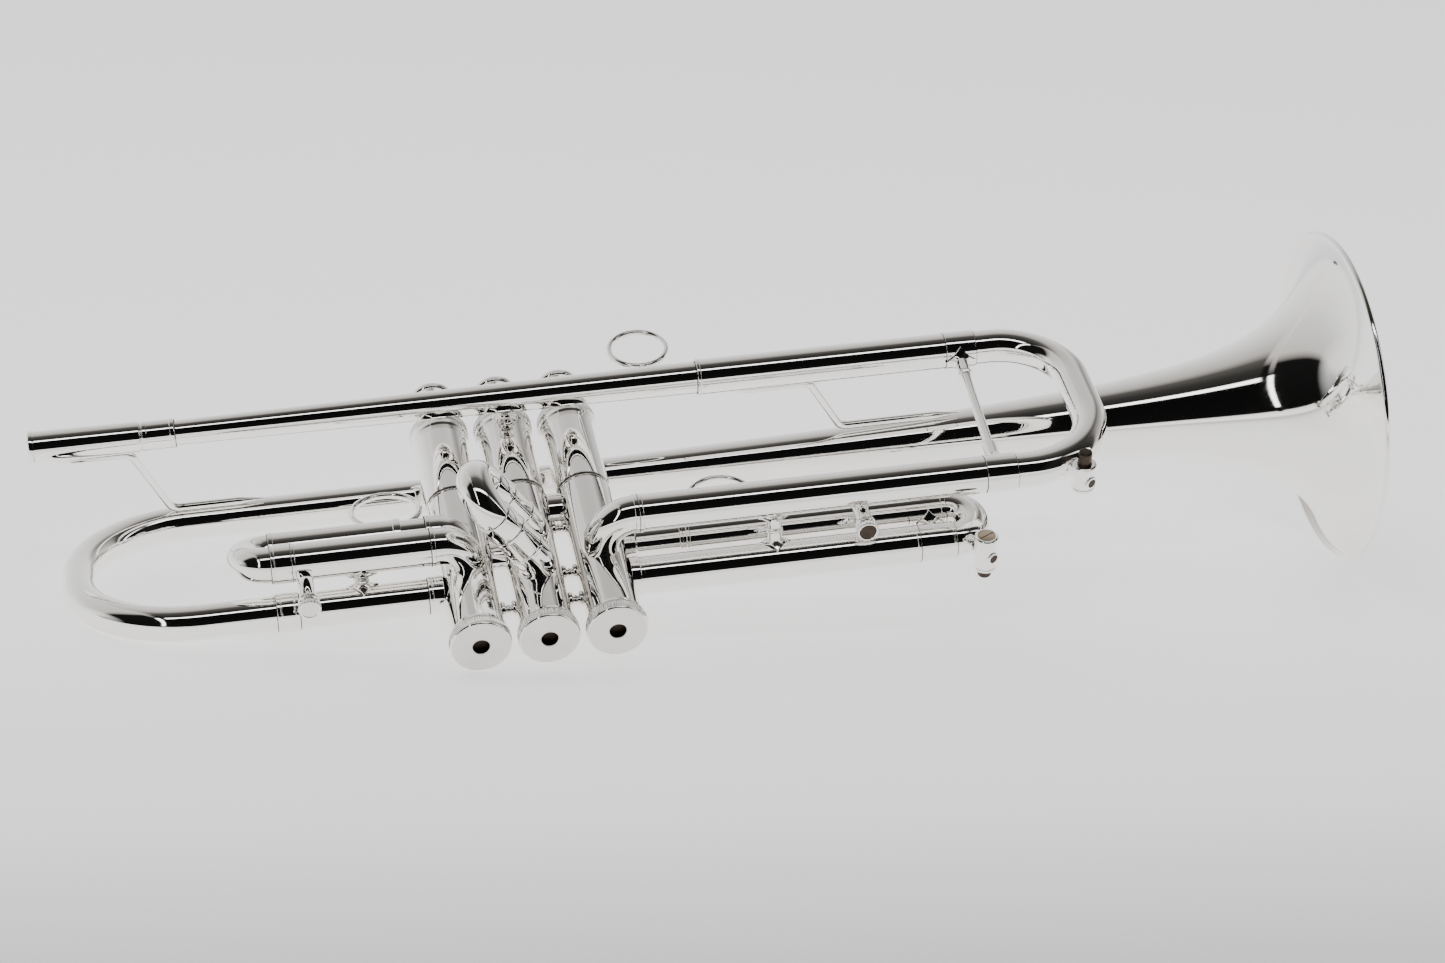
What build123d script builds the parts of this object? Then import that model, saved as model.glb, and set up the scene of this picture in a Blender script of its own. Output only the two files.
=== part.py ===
"""A three-valve trumpet in B flat, lying on its left side.

Everything is first drawn in the player's frame: X runs forward to the bell, Y to the
player's left, Z up the valves, and the origin is on the second valve's axis at the
face of its bottom cap. The last step lays the finished trumpet on its side.
Lengths are in millimetres and angles in degrees.
"""
from build123d import *
from math import cos, pi, radians, sin
import os

os.makedirs("parts", exist_ok=True)

# ---------------------------------------------------------------- driving dimensions
BORE_R = 5.45              # radius of the air column in the valve section
WALL = 0.45                # thickness of the drawn tubing
LEG_R = BORE_R + WALL      # outside of every inner slide leg
SLIP = 0.05                # radial clearance of a leg in its sleeve
SLEEVE_R = LEG_R + SLIP + WALL   # outside of every outer slide tube
FERRULE_R = 7.0            # outside of the rings that join two tubes
BOW_R = 6.1                # outside of the tubing in the bell bow

VALVE_PITCH = 22.96
VALVE_X = (-VALVE_PITCH, 0.0, VALVE_PITCH)
PISTON_R = 8.35
CASING_BORE_R = PISTON_R + SLIP
CASING_R = 9.45
UPPER_CASING_R = 9.65
CASING_BOTTOM = 1.8
CASING_JOINT = 75.4
CASING_TOP = 114.5
PISTON_BOTTOM = 19.6
PISTON_TOP = 79.4

BELL_RIM_X = 312.0
BELL_RIM_R = 62.0
BELL_Y = 22.6
BELL_Z = 112.2
BELL_WALL = 0.6
STEM_R = 6.4               # outside of the bell stem where the bow plugs in
FLARE_LENGTH = 15.2        # how quickly the bell opens near its rim
FLARE_POWER = 0.811

LEAD_Y = -21.3
LEAD_Z = 107.4
TUNING_Z = 34.7            # height of the tuning slide's lower leg
TUNING_END_X = 200.3       # furthest forward point of the bow's centreline

TAIL_Z = 29.3              # height of the bell tail, where it enters the first valve
BOW_END_X = -153.0         # furthest back point of the bell bow's centreline

FIRST_LOW = (-16.0, 35.6)      # Y and Z of the first slide's lower tube
FIRST_HIGH = (-9.0, 51.1)
SECOND_LOW_Z = 27.0
SECOND_HIGH_Z = 44.6
SECOND_SWING = 34.2            # the second slide leans this far towards the player
THIRD_LOW_Z = 27.3
THIRD_HIGH_Z = 44.4
CROSS_12_Z = 44.4
CROSS_23_Z = 67.0

# The trumpet rests on its bell rim and its bell bow.
REST_ROLL = -71.48
REST_PITCH = -6.48
REST_SHIFT = (-72.03, -86.21, 12.40)


# ---------------------------------------------------------------- shared shapes
def rod(start, end, radius):
    """A solid round bar between two points."""
    start, end = Vector(*start), Vector(*end)
    run = end - start
    plane = Plane(origin=start, z_dir=run)
    return plane * Cylinder(radius, run.length, align=(Align.CENTER, Align.CENTER, Align.MIN))


def pipe(start, end, outside, inside):
    """A straight tube between two points."""
    return rod(start, end, outside) - rod(start, end, inside)


def cone_pipe(start, end, first, last, wall):
    """A straight tube whose outside grows evenly from one end to the other."""
    start, end = Vector(*start), Vector(*end)
    run = end - start
    plane = Plane(origin=start, z_dir=run)
    ends = (Align.CENTER, Align.CENTER, Align.MIN)
    outer = Cone(first, last, run.length, align=ends)
    inner = Cone(first - wall, last - wall, run.length, align=ends)
    return plane * (outer - inner)


def bent_pipe(points, radii, outside, inside):
    """A tube along straight runs joined by tangent bends."""
    path = FilletPolyline(*points, radius=radii)
    start = path @ 0
    plane = Plane(origin=start, z_dir=path % 0)
    ring = plane * Circle(outside)
    if inside > 0:
        ring -= plane * Circle(inside)
    return sweep(ring, path=path)


def along(axis_from, axis_to, distance):
    """The point at a distance from one point towards another."""
    first, last = Vector(*axis_from), Vector(*axis_to)
    spot = first + (last - first).normalized() * distance
    return (spot.X, spot.Y, spot.Z)


def turned(plane, outline):
    """A solid of revolution about the plane's Z axis, from (radius, height) points."""
    section = make_face(Polyline(*[(r, 0, h) for r, h in outline], close=True))
    return plane * revolve(section, axis=Axis.Z)


def finger_ring(axis_point, tube_r, height, ring_r, wire, lean):
    """A ring on a flared foot that stands on a tube along X and leans to the left."""
    up = (0, sin(radians(lean)), cos(radians(lean)))
    foot_top = height - ring_r + 0.2
    foot = turned(Plane(origin=axis_point, x_dir=(1, 0, 0), z_dir=up), [
        (0, tube_r - 0.6), (2.6, tube_r - 0.6), (2.6, tube_r + 0.3), (1.5, tube_r + 0.9),
        (1.1, foot_top), (0, foot_top),
    ])
    x, y, z = axis_point
    centre = (x, y + height * up[1], z + height * up[2])
    ring = Plane(origin=centre, x_dir=(1, 0, 0), z_dir=(0, -up[2], up[1])) * Torus(ring_r, wire)
    tube = rod((x - 20, y, z), (x + 20, y, z), tube_r + 0.02)
    return (ring + foot) - tube


def spring(start, end, coil_r, wire_r, turns):
    """A round-wire compression spring between two points."""
    start, end = Vector(*start), Vector(*end)
    run = end - start
    height = run.length - 2 * wire_r
    path = Helix(pitch=height / turns, height=height, radius=coil_r)
    wire = sweep(Plane(origin=path @ 0, z_dir=path % 0) * Circle(wire_r), path=path, is_frenet=True)
    plane = Plane(origin=start + run.normalized() * wire_r, z_dir=run)
    return plane * wire


def return_crook(low, high, forward, outside, inside):
    """A half-circle bend that joins two parallel tubes whose open ends are given."""
    low, high, forward = Vector(*low), Vector(*high), Vector(*forward)
    span = high - low
    plane = Plane(origin=(low + high) * 0.5, x_dir=forward, z_dir=forward.cross(span))
    ring = Circle(outside)
    if inside > 0:
        ring -= Circle(inside)
    start = Plane(origin=(0, -span.length / 2, 0), x_dir=(0, 0, 1), z_dir=(1, 0, 0)) * ring
    return plane * revolve(start, axis=Axis.Z, revolution_arc=180)


def valve_core(number):
    """The cylinder that a valve casing fills, for trimming what butts against it."""
    x = VALVE_X[number]
    return rod((x, 0, -5), (x, 0, CASING_TOP), CASING_R)


# ---------------------------------------------------------------- bell
def bell_radius(x):
    """Outside radius of the bell at a place along its axis."""
    back = BELL_RIM_X - x
    share = (FLARE_LENGTH / (back + FLARE_LENGTH)) ** FLARE_POWER
    last = (FLARE_LENGTH / (BELL_RIM_X + FLARE_LENGTH)) ** FLARE_POWER
    base = (STEM_R - BELL_RIM_R * last) / (1 - last)
    return base + (BELL_RIM_R - base) * share


def wall_point(x, depth):
    """A point of the bell's wall at a depth in from its outside."""
    slope = (bell_radius(x + 0.01) - bell_radius(x - 0.01)) / 0.02
    size = (1 + slope ** 2) ** 0.5
    return (x + depth * slope / size, bell_radius(x) - depth / size, 0)


def bell_shell(stations):
    """A thin flaring shell through the given places along the bell's axis."""
    outer = Spline(*[wall_point(x, 0) for x in stations])
    inner = Spline(*[wall_point(x, BELL_WALL) for x in stations])
    front = Line(outer @ 1, inner @ 1)
    back = Line(outer @ 0, inner @ 0)
    section = make_face([outer, inner, front, back])
    return Location((0, BELL_Y, BELL_Z)) * revolve(section, axis=Axis.X)


THROAT_START_X = 140.0
FLARE_START_X = 262.0
RIM_WIRE = 1.15


def bell_flare():
    back = [50.0, 42.0, 34.0, 27.0, 21.0, 16.0, 12.0, 8.5, 5.5, 3.0, 1.2]
    shell = bell_shell([BELL_RIM_X - distance for distance in back])
    bead_plane = Plane(origin=(BELL_RIM_X - RIM_WIRE, BELL_Y, BELL_Z), z_dir=(1, 0, 0))
    bead = bead_plane * Torus(BELL_RIM_R - RIM_WIRE, RIM_WIRE)
    return shell + bead


def bell_throat():
    count = 10
    step = (FLARE_START_X - THROAT_START_X) / count
    return bell_shell([THROAT_START_X + step * number for number in range(count + 1)])


def bell_stem():
    count = 8
    step = THROAT_START_X / count
    return bell_shell([step * number for number in range(count + 1)])


def bell_ferrule():
    at = (0, BELL_Y, BELL_Z)
    ends = ((-7.0, *at[1:]), (7.0, *at[1:]))
    return pipe(*ends, FERRULE_R + 0.4, STEM_R + 0.25)


def bell_bow():
    """The bow behind the valves, with the ferrule that takes the bell stem."""
    high = (BELL_Y, BELL_Z)
    low = (0.0, TAIL_Z)
    points = [(-0.2, *high), (BOW_END_X, *high), (BOW_END_X, *low), (-84.0, *low)]
    return Compound([bent_pipe(points, [38.0, 40.0], BOW_R, BOW_R - WALL), bell_ferrule()])


def bell_tail():
    tube = pipe((-83.8, 0, TAIL_Z), (VALVE_X[0], 0, TAIL_Z), BOW_R, BORE_R)
    collar = pipe((-88.0, 0, TAIL_Z), (-80.6, 0, TAIL_Z), FERRULE_R, BOW_R)
    knuckle = pipe((-37.0, 0, TAIL_Z), (VALVE_X[0], 0, TAIL_Z), FERRULE_R - 0.2, BOW_R)
    return (tube + collar + knuckle) - valve_core(0)


# ---------------------------------------------------------------- leadpipe
RECEIVER_X = -165.5
RECEIVER_END_X = -127.2
COLLAR_END_X = -115.3
LEAD_END_X = 77.0


def mouthpiece_receiver():
    length = RECEIVER_END_X - RECEIVER_X
    plane = Plane(origin=(RECEIVER_X, LEAD_Y, LEAD_Z), x_dir=(0, 1, 0), z_dir=(1, 0, 0))
    socket_r = 4.7
    socket_depth = 22.0
    throat_r = 3.9
    outline = [
        (socket_r, 0), (5.75, 0), (5.95, 0.35), (5.95, 1.6), (5.8, 2.0), (5.4, length - 0.4),
        (5.1, length), (throat_r, length), (throat_r, socket_depth), (socket_r, socket_depth),
    ]
    return turned(plane, outline)


def receiver_collar():
    length = COLLAR_END_X - RECEIVER_END_X
    plane = Plane(origin=(RECEIVER_END_X, LEAD_Y, LEAD_Z), x_dir=(0, 1, 0), z_dir=(1, 0, 0))
    outline = [
        (3.9, 0), (5.0, 0), (5.3, 0.4), (5.3, 2.2), (5.15, 2.4), (5.15, length - 1.0),
        (4.9, length), (3.9, length),
    ]
    return turned(plane, outline)


def leadpipe():
    """The collar behind the receiver and the tapered tube that starts in it."""
    start = (COLLAR_END_X, LEAD_Y, LEAD_Z)
    middle = (68.0, LEAD_Y, LEAD_Z)
    taper = cone_pipe(start, middle, 4.45, LEG_R - 0.05, WALL)
    tip = pipe(middle, (LEAD_END_X, LEAD_Y, LEAD_Z), LEG_R, BORE_R)
    return Compound([receiver_collar(), taper + tip])


def leadpipe_brace():
    """A turned post between the leadpipe and the second valve."""
    plane = Plane(origin=(0, -UPPER_CASING_R - 0.02, LEAD_Z), x_dir=(1, 0, 0), z_dir=(0, -1, 0))
    outline = [
        (0, 0), (3.4, 0), (3.4, 0.5), (1.9, 1.2), (1.7, 1.9), (3.9, 2.4), (4.1, 3.0), (3.7, 3.5),
        (2.4, 4.0), (2.6, 5.6), (0, 5.6),
    ]
    post = turned(plane, outline)
    flutes = 12
    for number in range(flutes):
        angle = 2 * pi * number / flutes
        spot = (4.35 * cos(angle), -UPPER_CASING_R - 2.9, LEAD_Z + 4.35 * sin(angle))
        post -= Location(spot) * Sphere(0.55)
    tube = rod((-10, LEAD_Y, LEAD_Z), (10, LEAD_Y, LEAD_Z), lead_radius(0.0) + 0.05)
    casing = rod((0, 0, CASING_JOINT), (0, 0, CASING_TOP), UPPER_CASING_R + 0.02)
    return post - tube - casing


def lead_radius(x):
    """Outside radius of the leadpipe at a place along it."""
    share = (x - COLLAR_END_X) / (68.0 - COLLAR_END_X)
    return 4.45 + share * (LEG_R - 0.05 - 4.45)


def pinky_ring():
    return finger_ring((51.1, LEAD_Y, LEAD_Z), lead_radius(51.1) + 0.05, 20.5, 10.25, 1.1, 0)


# ---------------------------------------------------------------- wire braces
BRACE_WIRE = 1.5


def s_brace(foot_x, turn_x, cross_x, end_x, tube_r, stem_r):
    """A wire that lies along the leadpipe, crosses over and lies along the bell."""
    clear = BRACE_WIRE + 0.05
    near_y = LEAD_Y + tube_r + clear
    far_y = BELL_Y - stem_r - clear
    z_near, z_far = LEAD_Z + 0.4, BELL_Z - 0.4
    points = [(foot_x, near_y, z_near), (turn_x, near_y, z_near), (cross_x, far_y, z_far),
              (end_x, far_y, z_far)]
    wire = bent_pipe(points, [4.0, 4.0], BRACE_WIRE, 0)
    tip = Location((end_x, far_y, z_far)) * Sphere(BRACE_WIRE)
    heel = Location((foot_x, near_y, z_near)) * Sphere(BRACE_WIRE)
    return wire + tip + heel


def rear_s_brace():
    return s_brace(-158.0, -131.5, -119.0, -88.0, 5.85, BOW_R)


def front_s_brace():
    return s_brace(82.0, 110.0, 123.0, 166.0, SLEEVE_R, bell_radius(166.0))


# ---------------------------------------------------------------- valves
def port(number, height, direction):
    """The drilling that lets a tube into a valve casing."""
    x = VALVE_X[number]
    turn = radians(direction)
    return rod((x, 0, height), (x + 14 * cos(turn), 14 * sin(turn), height), BORE_R)


PORTS = (
    ((TAIL_Z, 180), (FIRST_LOW[1], -90), (FIRST_HIGH[1], -110), (CROSS_12_Z, 0)),
    ((CROSS_12_Z, 180), (SECOND_LOW_Z, -90), (SECOND_HIGH_Z, -90), (CROSS_23_Z, 0)),
    ((CROSS_23_Z, 180), (TUNING_Z, -90), (THIRD_LOW_Z, 0), (THIRD_HIGH_Z, 0)),
)


def valve_casing(number):
    """The lower casing, the upper casing screwed on top of it and the valve guide."""
    plane = Plane(origin=(VALVE_X[number], 0, 0))
    lower = turned(plane, [
        (CASING_BORE_R, CASING_BOTTOM), (CASING_R, CASING_BOTTOM), (CASING_R, CASING_JOINT - 1.3),
        (CASING_R + 0.35, CASING_JOINT - 1.1), (CASING_R + 0.35, CASING_JOINT),
        (CASING_BORE_R, CASING_JOINT),
    ])
    upper = turned(plane, [
        (CASING_BORE_R, CASING_JOINT), (UPPER_CASING_R - 0.35, CASING_JOINT),
        (UPPER_CASING_R, CASING_JOINT + 1.0), (UPPER_CASING_R - 0.1, 95.0),
        (UPPER_CASING_R, CASING_TOP - 3.5), (10.1, CASING_TOP - 2.4), (10.3, CASING_TOP - 1.5),
        (10.3, CASING_TOP), (CASING_BORE_R, CASING_TOP),
    ])
    for height, direction in PORTS[number]:
        lower -= port(number, height, direction)
    return Compound([lower, upper, valve_guide(VALVE_X[number])])


def bottom_cap(x):
    plane = Plane(origin=(x, 0, 0))
    cap = turned(plane, [
        (3.0, 0), (9.9, 0), (10.5, 0.5), (10.5, 4.3), (10.2, 4.5), (10.2, 5.6),
        (CASING_R + 0.02, 5.6), (CASING_R + 0.02, 1.7), (3.0, 1.7),
    ])
    return cap - knurl_cuts(x, 10.62, 0.9, 3.9)


def knurl_cuts(x, radius, low, high):
    """Fine upright grooves round a cap."""
    count = 72
    cutter = Cylinder(0.19, high - low, align=(Align.CENTER, Align.CENTER, Align.MIN))
    spots = [Location((x, 0, low)) * Location(
        (radius * cos(2 * pi * number / count), radius * sin(2 * pi * number / count), 0))
        for number in range(count)]
    return [spot * cutter for spot in spots]


TOP_CAP_TOP = 120.2
STEM_HOLE_R = 3.4


def top_cap(x):
    plane = Plane(origin=(x, 0, 0))
    cap = turned(plane, [
        (STEM_HOLE_R, CASING_TOP - 1.2), (CASING_BORE_R - 0.05, CASING_TOP - 1.2),
        (CASING_BORE_R - 0.05, CASING_TOP + 0.02), (10.3, CASING_TOP + 0.02), (10.5, CASING_TOP + 0.5),
        (10.5, CASING_TOP + 3.2), (9.6, CASING_TOP + 4.2), (5.6, TOP_CAP_TOP), (STEM_HOLE_R, TOP_CAP_TOP),
    ])
    return cap - knurl_cuts(x, 10.62, CASING_TOP + 0.8, CASING_TOP + 3.0)


def valve_piston(number):
    """The piston with its three air passages, and the spring barrel above it."""
    x = VALVE_X[number]
    plane = Plane(origin=(x, 0, 0))
    body = turned(plane, [
        (0, PISTON_BOTTOM), (PISTON_R - 0.3, PISTON_BOTTOM), (PISTON_R, PISTON_BOTTOM + 0.3),
        (PISTON_R, PISTON_TOP - 0.3), (PISTON_R - 0.3, PISTON_TOP), (0, PISTON_TOP),
    ])
    for height, tilt in ((PISTON_BOTTOM + 8.0, 5), (PISTON_BOTTOM + 22.0, 65), (PISTON_BOTTOM + 36.0, 125)):
        turn = radians(tilt)
        reach = 12.0
        body -= rod((x - reach * cos(turn), -reach * sin(turn), height),
                    (x + reach * cos(turn), reach * sin(turn), height), BORE_R - 0.4)
    return body


GUIDE_Z = 83.0
SPRING_TOP = 109.5
COLLAR_TOP = 112.6
BUTTON_BOTTOM = 136.6
BUTTON_TOP = 139.4
STEM_RADIUS = 2.4


def valve_guide(x):
    """The ring inside a casing that the valve spring stands on."""
    plane = Plane(origin=(x, 0, 0))
    return turned(plane, [
        (STEM_RADIUS + 0.5, GUIDE_Z), (CASING_BORE_R - 0.02, GUIDE_Z), (CASING_BORE_R - 0.02, GUIDE_Z + 1.6),
        (STEM_RADIUS + 0.5, GUIDE_Z + 1.6),
    ])


def valve_button(number):
    """The stem, the spring's upper seat and the finger button."""
    plane = Plane(origin=(VALVE_X[number], 0, 0))
    return turned(plane, [
        (0, PISTON_TOP + 0.01), (STEM_RADIUS, PISTON_TOP + 0.01), (STEM_RADIUS, SPRING_TOP),
        (7.4, SPRING_TOP), (7.4, COLLAR_TOP), (STEM_RADIUS, COLLAR_TOP), (STEM_RADIUS, BUTTON_BOTTOM - 1.6),
        (4.4, BUTTON_BOTTOM - 0.5), (7.4, BUTTON_BOTTOM), (8.0, BUTTON_BOTTOM + 0.7), (8.0, BUTTON_TOP - 0.5),
        (7.6, BUTTON_TOP), (6.6, BUTTON_TOP), (6.45, BUTTON_TOP - 0.9), (0, BUTTON_TOP - 0.9),
    ])


def button_pearl(number):
    """The dished inlay that the finger presses."""
    plane = Plane(origin=(VALVE_X[number], 0, 0))
    return turned(plane, [
        (0, BUTTON_TOP - 0.88), (6.4, BUTTON_TOP - 0.88), (6.4, BUTTON_TOP - 0.25),
        (4.0, BUTTON_TOP - 0.42), (0, BUTTON_TOP - 0.5),
    ])


def valve_spring(number):
    x = VALVE_X[number]
    return spring((x, 0, GUIDE_Z + 1.65), (x, 0, SPRING_TOP - 0.05), 5.2, 0.42, 8)


def crossover_tubes():
    """The short tubes and the turned studs that join neighbouring valves."""
    low, middle, high = VALVE_X
    first = pipe((low, 0, CROSS_12_Z), (middle, 0, CROSS_12_Z), SLEEVE_R, BORE_R)
    second = pipe((middle, 0, CROSS_23_Z), (high, 0, CROSS_23_Z), SLEEVE_R, BORE_R)
    first = first - valve_core(0) - valve_core(1)
    second = second - valve_core(1) - valve_core(2)
    return Compound([first, second, *casing_studs()])


# The valve to the left of each stud, and the stud's height.
STUDS = ((0, 17.5), (0, 54.2), (1, 18.5), (1, 33.0), (1, 57.2))


def casing_studs():
    """Turned studs that hold the casings apart."""
    studs = []
    half = VALVE_PITCH / 2
    for number, height in STUDS:
        left = VALVE_X[number]
        plane = Plane(origin=(left, 0, height), x_dir=(0, 1, 0), z_dir=(1, 0, 0))
        stud = turned(plane, [
            (0, 8.9), (2.9, 8.9), (2.9, half - 1.5), (1.5, half - 0.9), (2.1, half),
            (1.5, half + 0.9), (2.9, half + 1.5), (2.9, 2 * half - 8.9), (0, 2 * half - 8.9),
        ])
        studs.append(trim_between_casings(stud, left, left + half))
    return studs


def trim_between_casings(shape, left, middle):
    """Cut away what would stand inside the casings on either side."""
    right = 2 * middle - left
    for x in (left, right):
        shape -= rod((x, 0, -5), (x, 0, CASING_TOP), CASING_R + 0.01)
    return shape


# ---------------------------------------------------------------- tuning slide
UPPER_SLEEVE_X = 68.7
UPPER_SLEEVE_END_X = 158.8
LOWER_SLEEVE_X = 35.6
LOWER_SLEEVE_END_X = 155.8
TUNING_COLLAR = 11.0
TUNING_REACH = 38.0        # how far each inner leg reaches into its sleeve


def outer_tube(start_x, end_x, y, z, first_ferrule, last_ferrule):
    """A slide's outer tube with a ring at each end."""
    tube = pipe((start_x, y, z), (end_x, y, z), SLEEVE_R, LEG_R + SLIP)
    if first_ferrule:
        tube += pipe((start_x, y, z), (start_x + first_ferrule, y, z), SLEEVE_R + 0.3, LEG_R + SLIP)
    if last_ferrule:
        tube += pipe((end_x - last_ferrule, y, z), (end_x, y, z), SLEEVE_R + 0.3, LEG_R + SLIP)
    return tube


def upper_slide_tube():
    return outer_tube(UPPER_SLEEVE_X, UPPER_SLEEVE_END_X, LEAD_Y, LEAD_Z, 1.0, 0)


def lower_slide_tube():
    return outer_tube(LOWER_SLEEVE_X, LOWER_SLEEVE_END_X, LEAD_Y, TUNING_Z, 1.2, 0)


def third_valve_knuckle():
    """The elbow that takes the air from the tuning slide into the third valve."""
    x = VALVE_X[2]
    points = [(LOWER_SLEEVE_X + 6.0, LEAD_Y, TUNING_Z), (x, LEAD_Y, TUNING_Z), (x, -5.0, TUNING_Z)]
    elbow = bent_pipe(points, 12.0, SLEEVE_R - 0.02, BORE_R)
    plug = rod((LOWER_SLEEVE_X, LEAD_Y, TUNING_Z), (LOWER_SLEEVE_X + 9.0, LEAD_Y, TUNING_Z), SLEEVE_R + 1.0)
    spigot = pipe((LOWER_SLEEVE_X - 0.01, LEAD_Y, TUNING_Z), (LOWER_SLEEVE_X + 6.0, LEAD_Y, TUNING_Z),
                  LEG_R + SLIP - 0.01, BORE_R)
    return (elbow - plug) + spigot - valve_core(2)


def tuning_collar(start_x, z):
    """The ring that stops the slide against the end of its sleeve."""
    end_x = start_x + TUNING_COLLAR
    return pipe((start_x + 0.15, LEAD_Y, z), (end_x, LEAD_Y, z), SLEEVE_R + 0.15, LEG_R)


def tuning_slide_legs():
    upper = pipe((UPPER_SLEEVE_END_X - TUNING_REACH, LEAD_Y, LEAD_Z), (178.0, LEAD_Y, LEAD_Z), LEG_R, BORE_R)
    lower = pipe((LOWER_SLEEVE_END_X - TUNING_REACH, LEAD_Y, TUNING_Z), (170.0, LEAD_Y, TUNING_Z), LEG_R, BORE_R)
    upper += tuning_collar(UPPER_SLEEVE_END_X, LEAD_Z)
    lower += tuning_collar(LOWER_SLEEVE_END_X, TUNING_Z)
    return Compound([upper, lower])


def tuning_bow():
    high = (LEAD_Y, LEAD_Z)
    low = (LEAD_Y, TUNING_Z)
    points = [(170.0, *high), (TUNING_END_X, *high), (TUNING_END_X, *low), (167.0, *low)]
    bow = bent_pipe(points, [25.0, 29.0], LEG_R + 0.15, BORE_R)
    bow -= rod((165, *high), (178.0, *high), LEG_R + 0.02)
    bow -= rod((165, *low), (170.0, *low), LEG_R + 0.02)
    button = Location((191.5, LEAD_Y, 91.0)) * Sphere(1.7)
    return bow + button - rod((TUNING_END_X, LEAD_Y, 60), (TUNING_END_X, LEAD_Y, 80), BORE_R)


def turned_strut(start, end, foot_r, sleeve_r, rod_r, sleeve):
    """A strut with a thick sleeve at each end and a thin middle."""
    first, last = Vector(*start), Vector(*end)
    run = last - first
    plane = Plane(origin=first, z_dir=run)
    length = run.length
    return turned(plane, [
        (0, 0), (foot_r, 0), (foot_r, 0.7), (sleeve_r, 1.6), (sleeve_r, sleeve), (rod_r, sleeve + 0.8),
        (rod_r, length - sleeve - 0.8), (sleeve_r, length - sleeve), (sleeve_r, length - 1.6),
        (foot_r, length - 0.7), (foot_r, length), (0, length),
    ])


def diamond(centre, toward, across, up, thickness):
    """A four-cornered flange that lies against a tube."""
    plane = Plane(origin=centre, x_dir=(1, 0, 0), z_dir=toward)
    outline = Polyline((across, 0), (0, up), (-across, 0), (0, -up), close=True)
    return plane * extrude(make_face(outline), thickness)


def tuning_slide_brace():
    x = 163.0
    tube_r = SLEEVE_R + 0.15
    top = (x + 0.8, LEAD_Y, LEAD_Z - tube_r + 1.4)
    bottom = (x - 1.8, LEAD_Y, TUNING_Z + tube_r - 1.4)
    strut = turned_strut(top, bottom, 2.6, 2.3, 1.7, 9.0)
    strut += diamond((x + 0.8, LEAD_Y, LEAD_Z - tube_r - 0.9), (0, 0, 1), 4.4, 3.6, 2.2)
    strut += diamond((x - 1.8, LEAD_Y, TUNING_Z + tube_r + 0.9), (0, 0, -1), 4.4, 3.6, 2.2)
    for z in (LEAD_Z, TUNING_Z):
        strut -= rod((150, LEAD_Y, z), (175, LEAD_Y, z), tube_r + 0.02)
    return strut


# ---------------------------------------------------------------- water keys
KEY_R = 4.0
KEY_BORE_R = 2.45
KEY_WEB = (4.2, 4.9)       # the fixed web that the spring pushes against
KEY_HOLE_DEPTH = 6.2
KEY_STEM_R = 1.0

# Each key: its axis in X and Z, the Y of its button end and of its back, which way it
# is pressed, how far the button stands out, and the point of the slide it drains.
TUNING_KEY = {"x": 189.8, "z": 29.3, "face": -25.6, "back": -14.9, "press": 1, "stand": 5.0,
              "tube": (185.7, LEAD_Y, 38.7)}
THIRD_KEY = {"x": 153.4, "z": 18.0, "face": 5.8, "back": -8.0, "press": -1, "stand": 3.4,
             "tube": (148.5, 0.0, 29.0)}


def key_point(key, depth):
    """A point on a water key's axis, measured in from its button end."""
    return (key["x"], key["face"] + key["press"] * depth, key["z"])


def water_key(key, slide):
    """The barrel of a piston water key and the neck that joins it to its slide."""
    length = abs(key["back"] - key["face"])
    body = rod(key_point(key, 0), key_point(key, length), KEY_R)
    for depth in (0.2, length - 1.1):
        body += rod(key_point(key, depth), key_point(key, depth + 0.9), KEY_R + 0.25)
    tube_x, tube_y, tube_z = key["tube"]
    body += rod((key["x"], tube_y, key["z"]), key["tube"], 2.6)
    body -= rod(key_point(key, -1.0), key_point(key, KEY_WEB[0]), KEY_BORE_R)
    body -= rod(key_point(key, 1.0), key_point(key, length - 1.0), KEY_STEM_R + 0.15)
    body -= rod(key_point(key, KEY_WEB[1]), key_point(key, length - 1.0), KEY_BORE_R)
    hole_x, hole_y, hole_z = key_point(key, KEY_HOLE_DEPTH)
    body -= rod((hole_x, hole_y, hole_z), (hole_x + 3.5, hole_y, hole_z - 7.2), 1.35)
    back = Location(key_point(key, length)) * Rotation(0, -28, 0)
    body -= back * Box(6.6, 1.0, 0.8)
    return body - slide


def key_plunger(key):
    """The button, its stem and the valve head at the far end."""
    button = rod(key_point(key, -key["stand"]), key_point(key, 1.2), KEY_BORE_R - SLIP)
    stem = rod(key_point(key, 1.2), key_point(key, 5.4), KEY_STEM_R)
    head = rod(key_point(key, 5.4), key_point(key, 7.7), KEY_BORE_R - SLIP)
    return button + stem + head


def key_spring(key):
    return spring(key_point(key, 1.25), key_point(key, KEY_WEB[0] - 0.05), 1.7, 0.17, 3)


def tuning_water_key():
    points = [(166.0, LEAD_Y, TUNING_Z), (TUNING_END_X, LEAD_Y, TUNING_Z), (TUNING_END_X, LEAD_Y, LEAD_Z),
              (166.0, LEAD_Y, LEAD_Z)]
    return water_key(TUNING_KEY, bent_pipe(points, [29.0, 25.0], LEG_R + 0.17, 0))


def third_water_key():
    low, high = (THIRD_CROOK_X, 0, THIRD_LOW_Z), (THIRD_CROOK_X, 0, THIRD_HIGH_Z)
    return water_key(THIRD_KEY, return_crook(low, high, (1, 0, 0), LEG_R + 0.17, 0))


# ---------------------------------------------------------------- first slide
FIRST_SLEEVE_END_X = -81.5
FIRST_CROOK_X = -88.4
FIRST_KNUCKLE_X = -35.0
FIRST_RING_X = -46.8
THUMB_RING_LEAN = 10       # the thumb ring leans over towards the valves
FINGER_WIRE = 1.15


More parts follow.
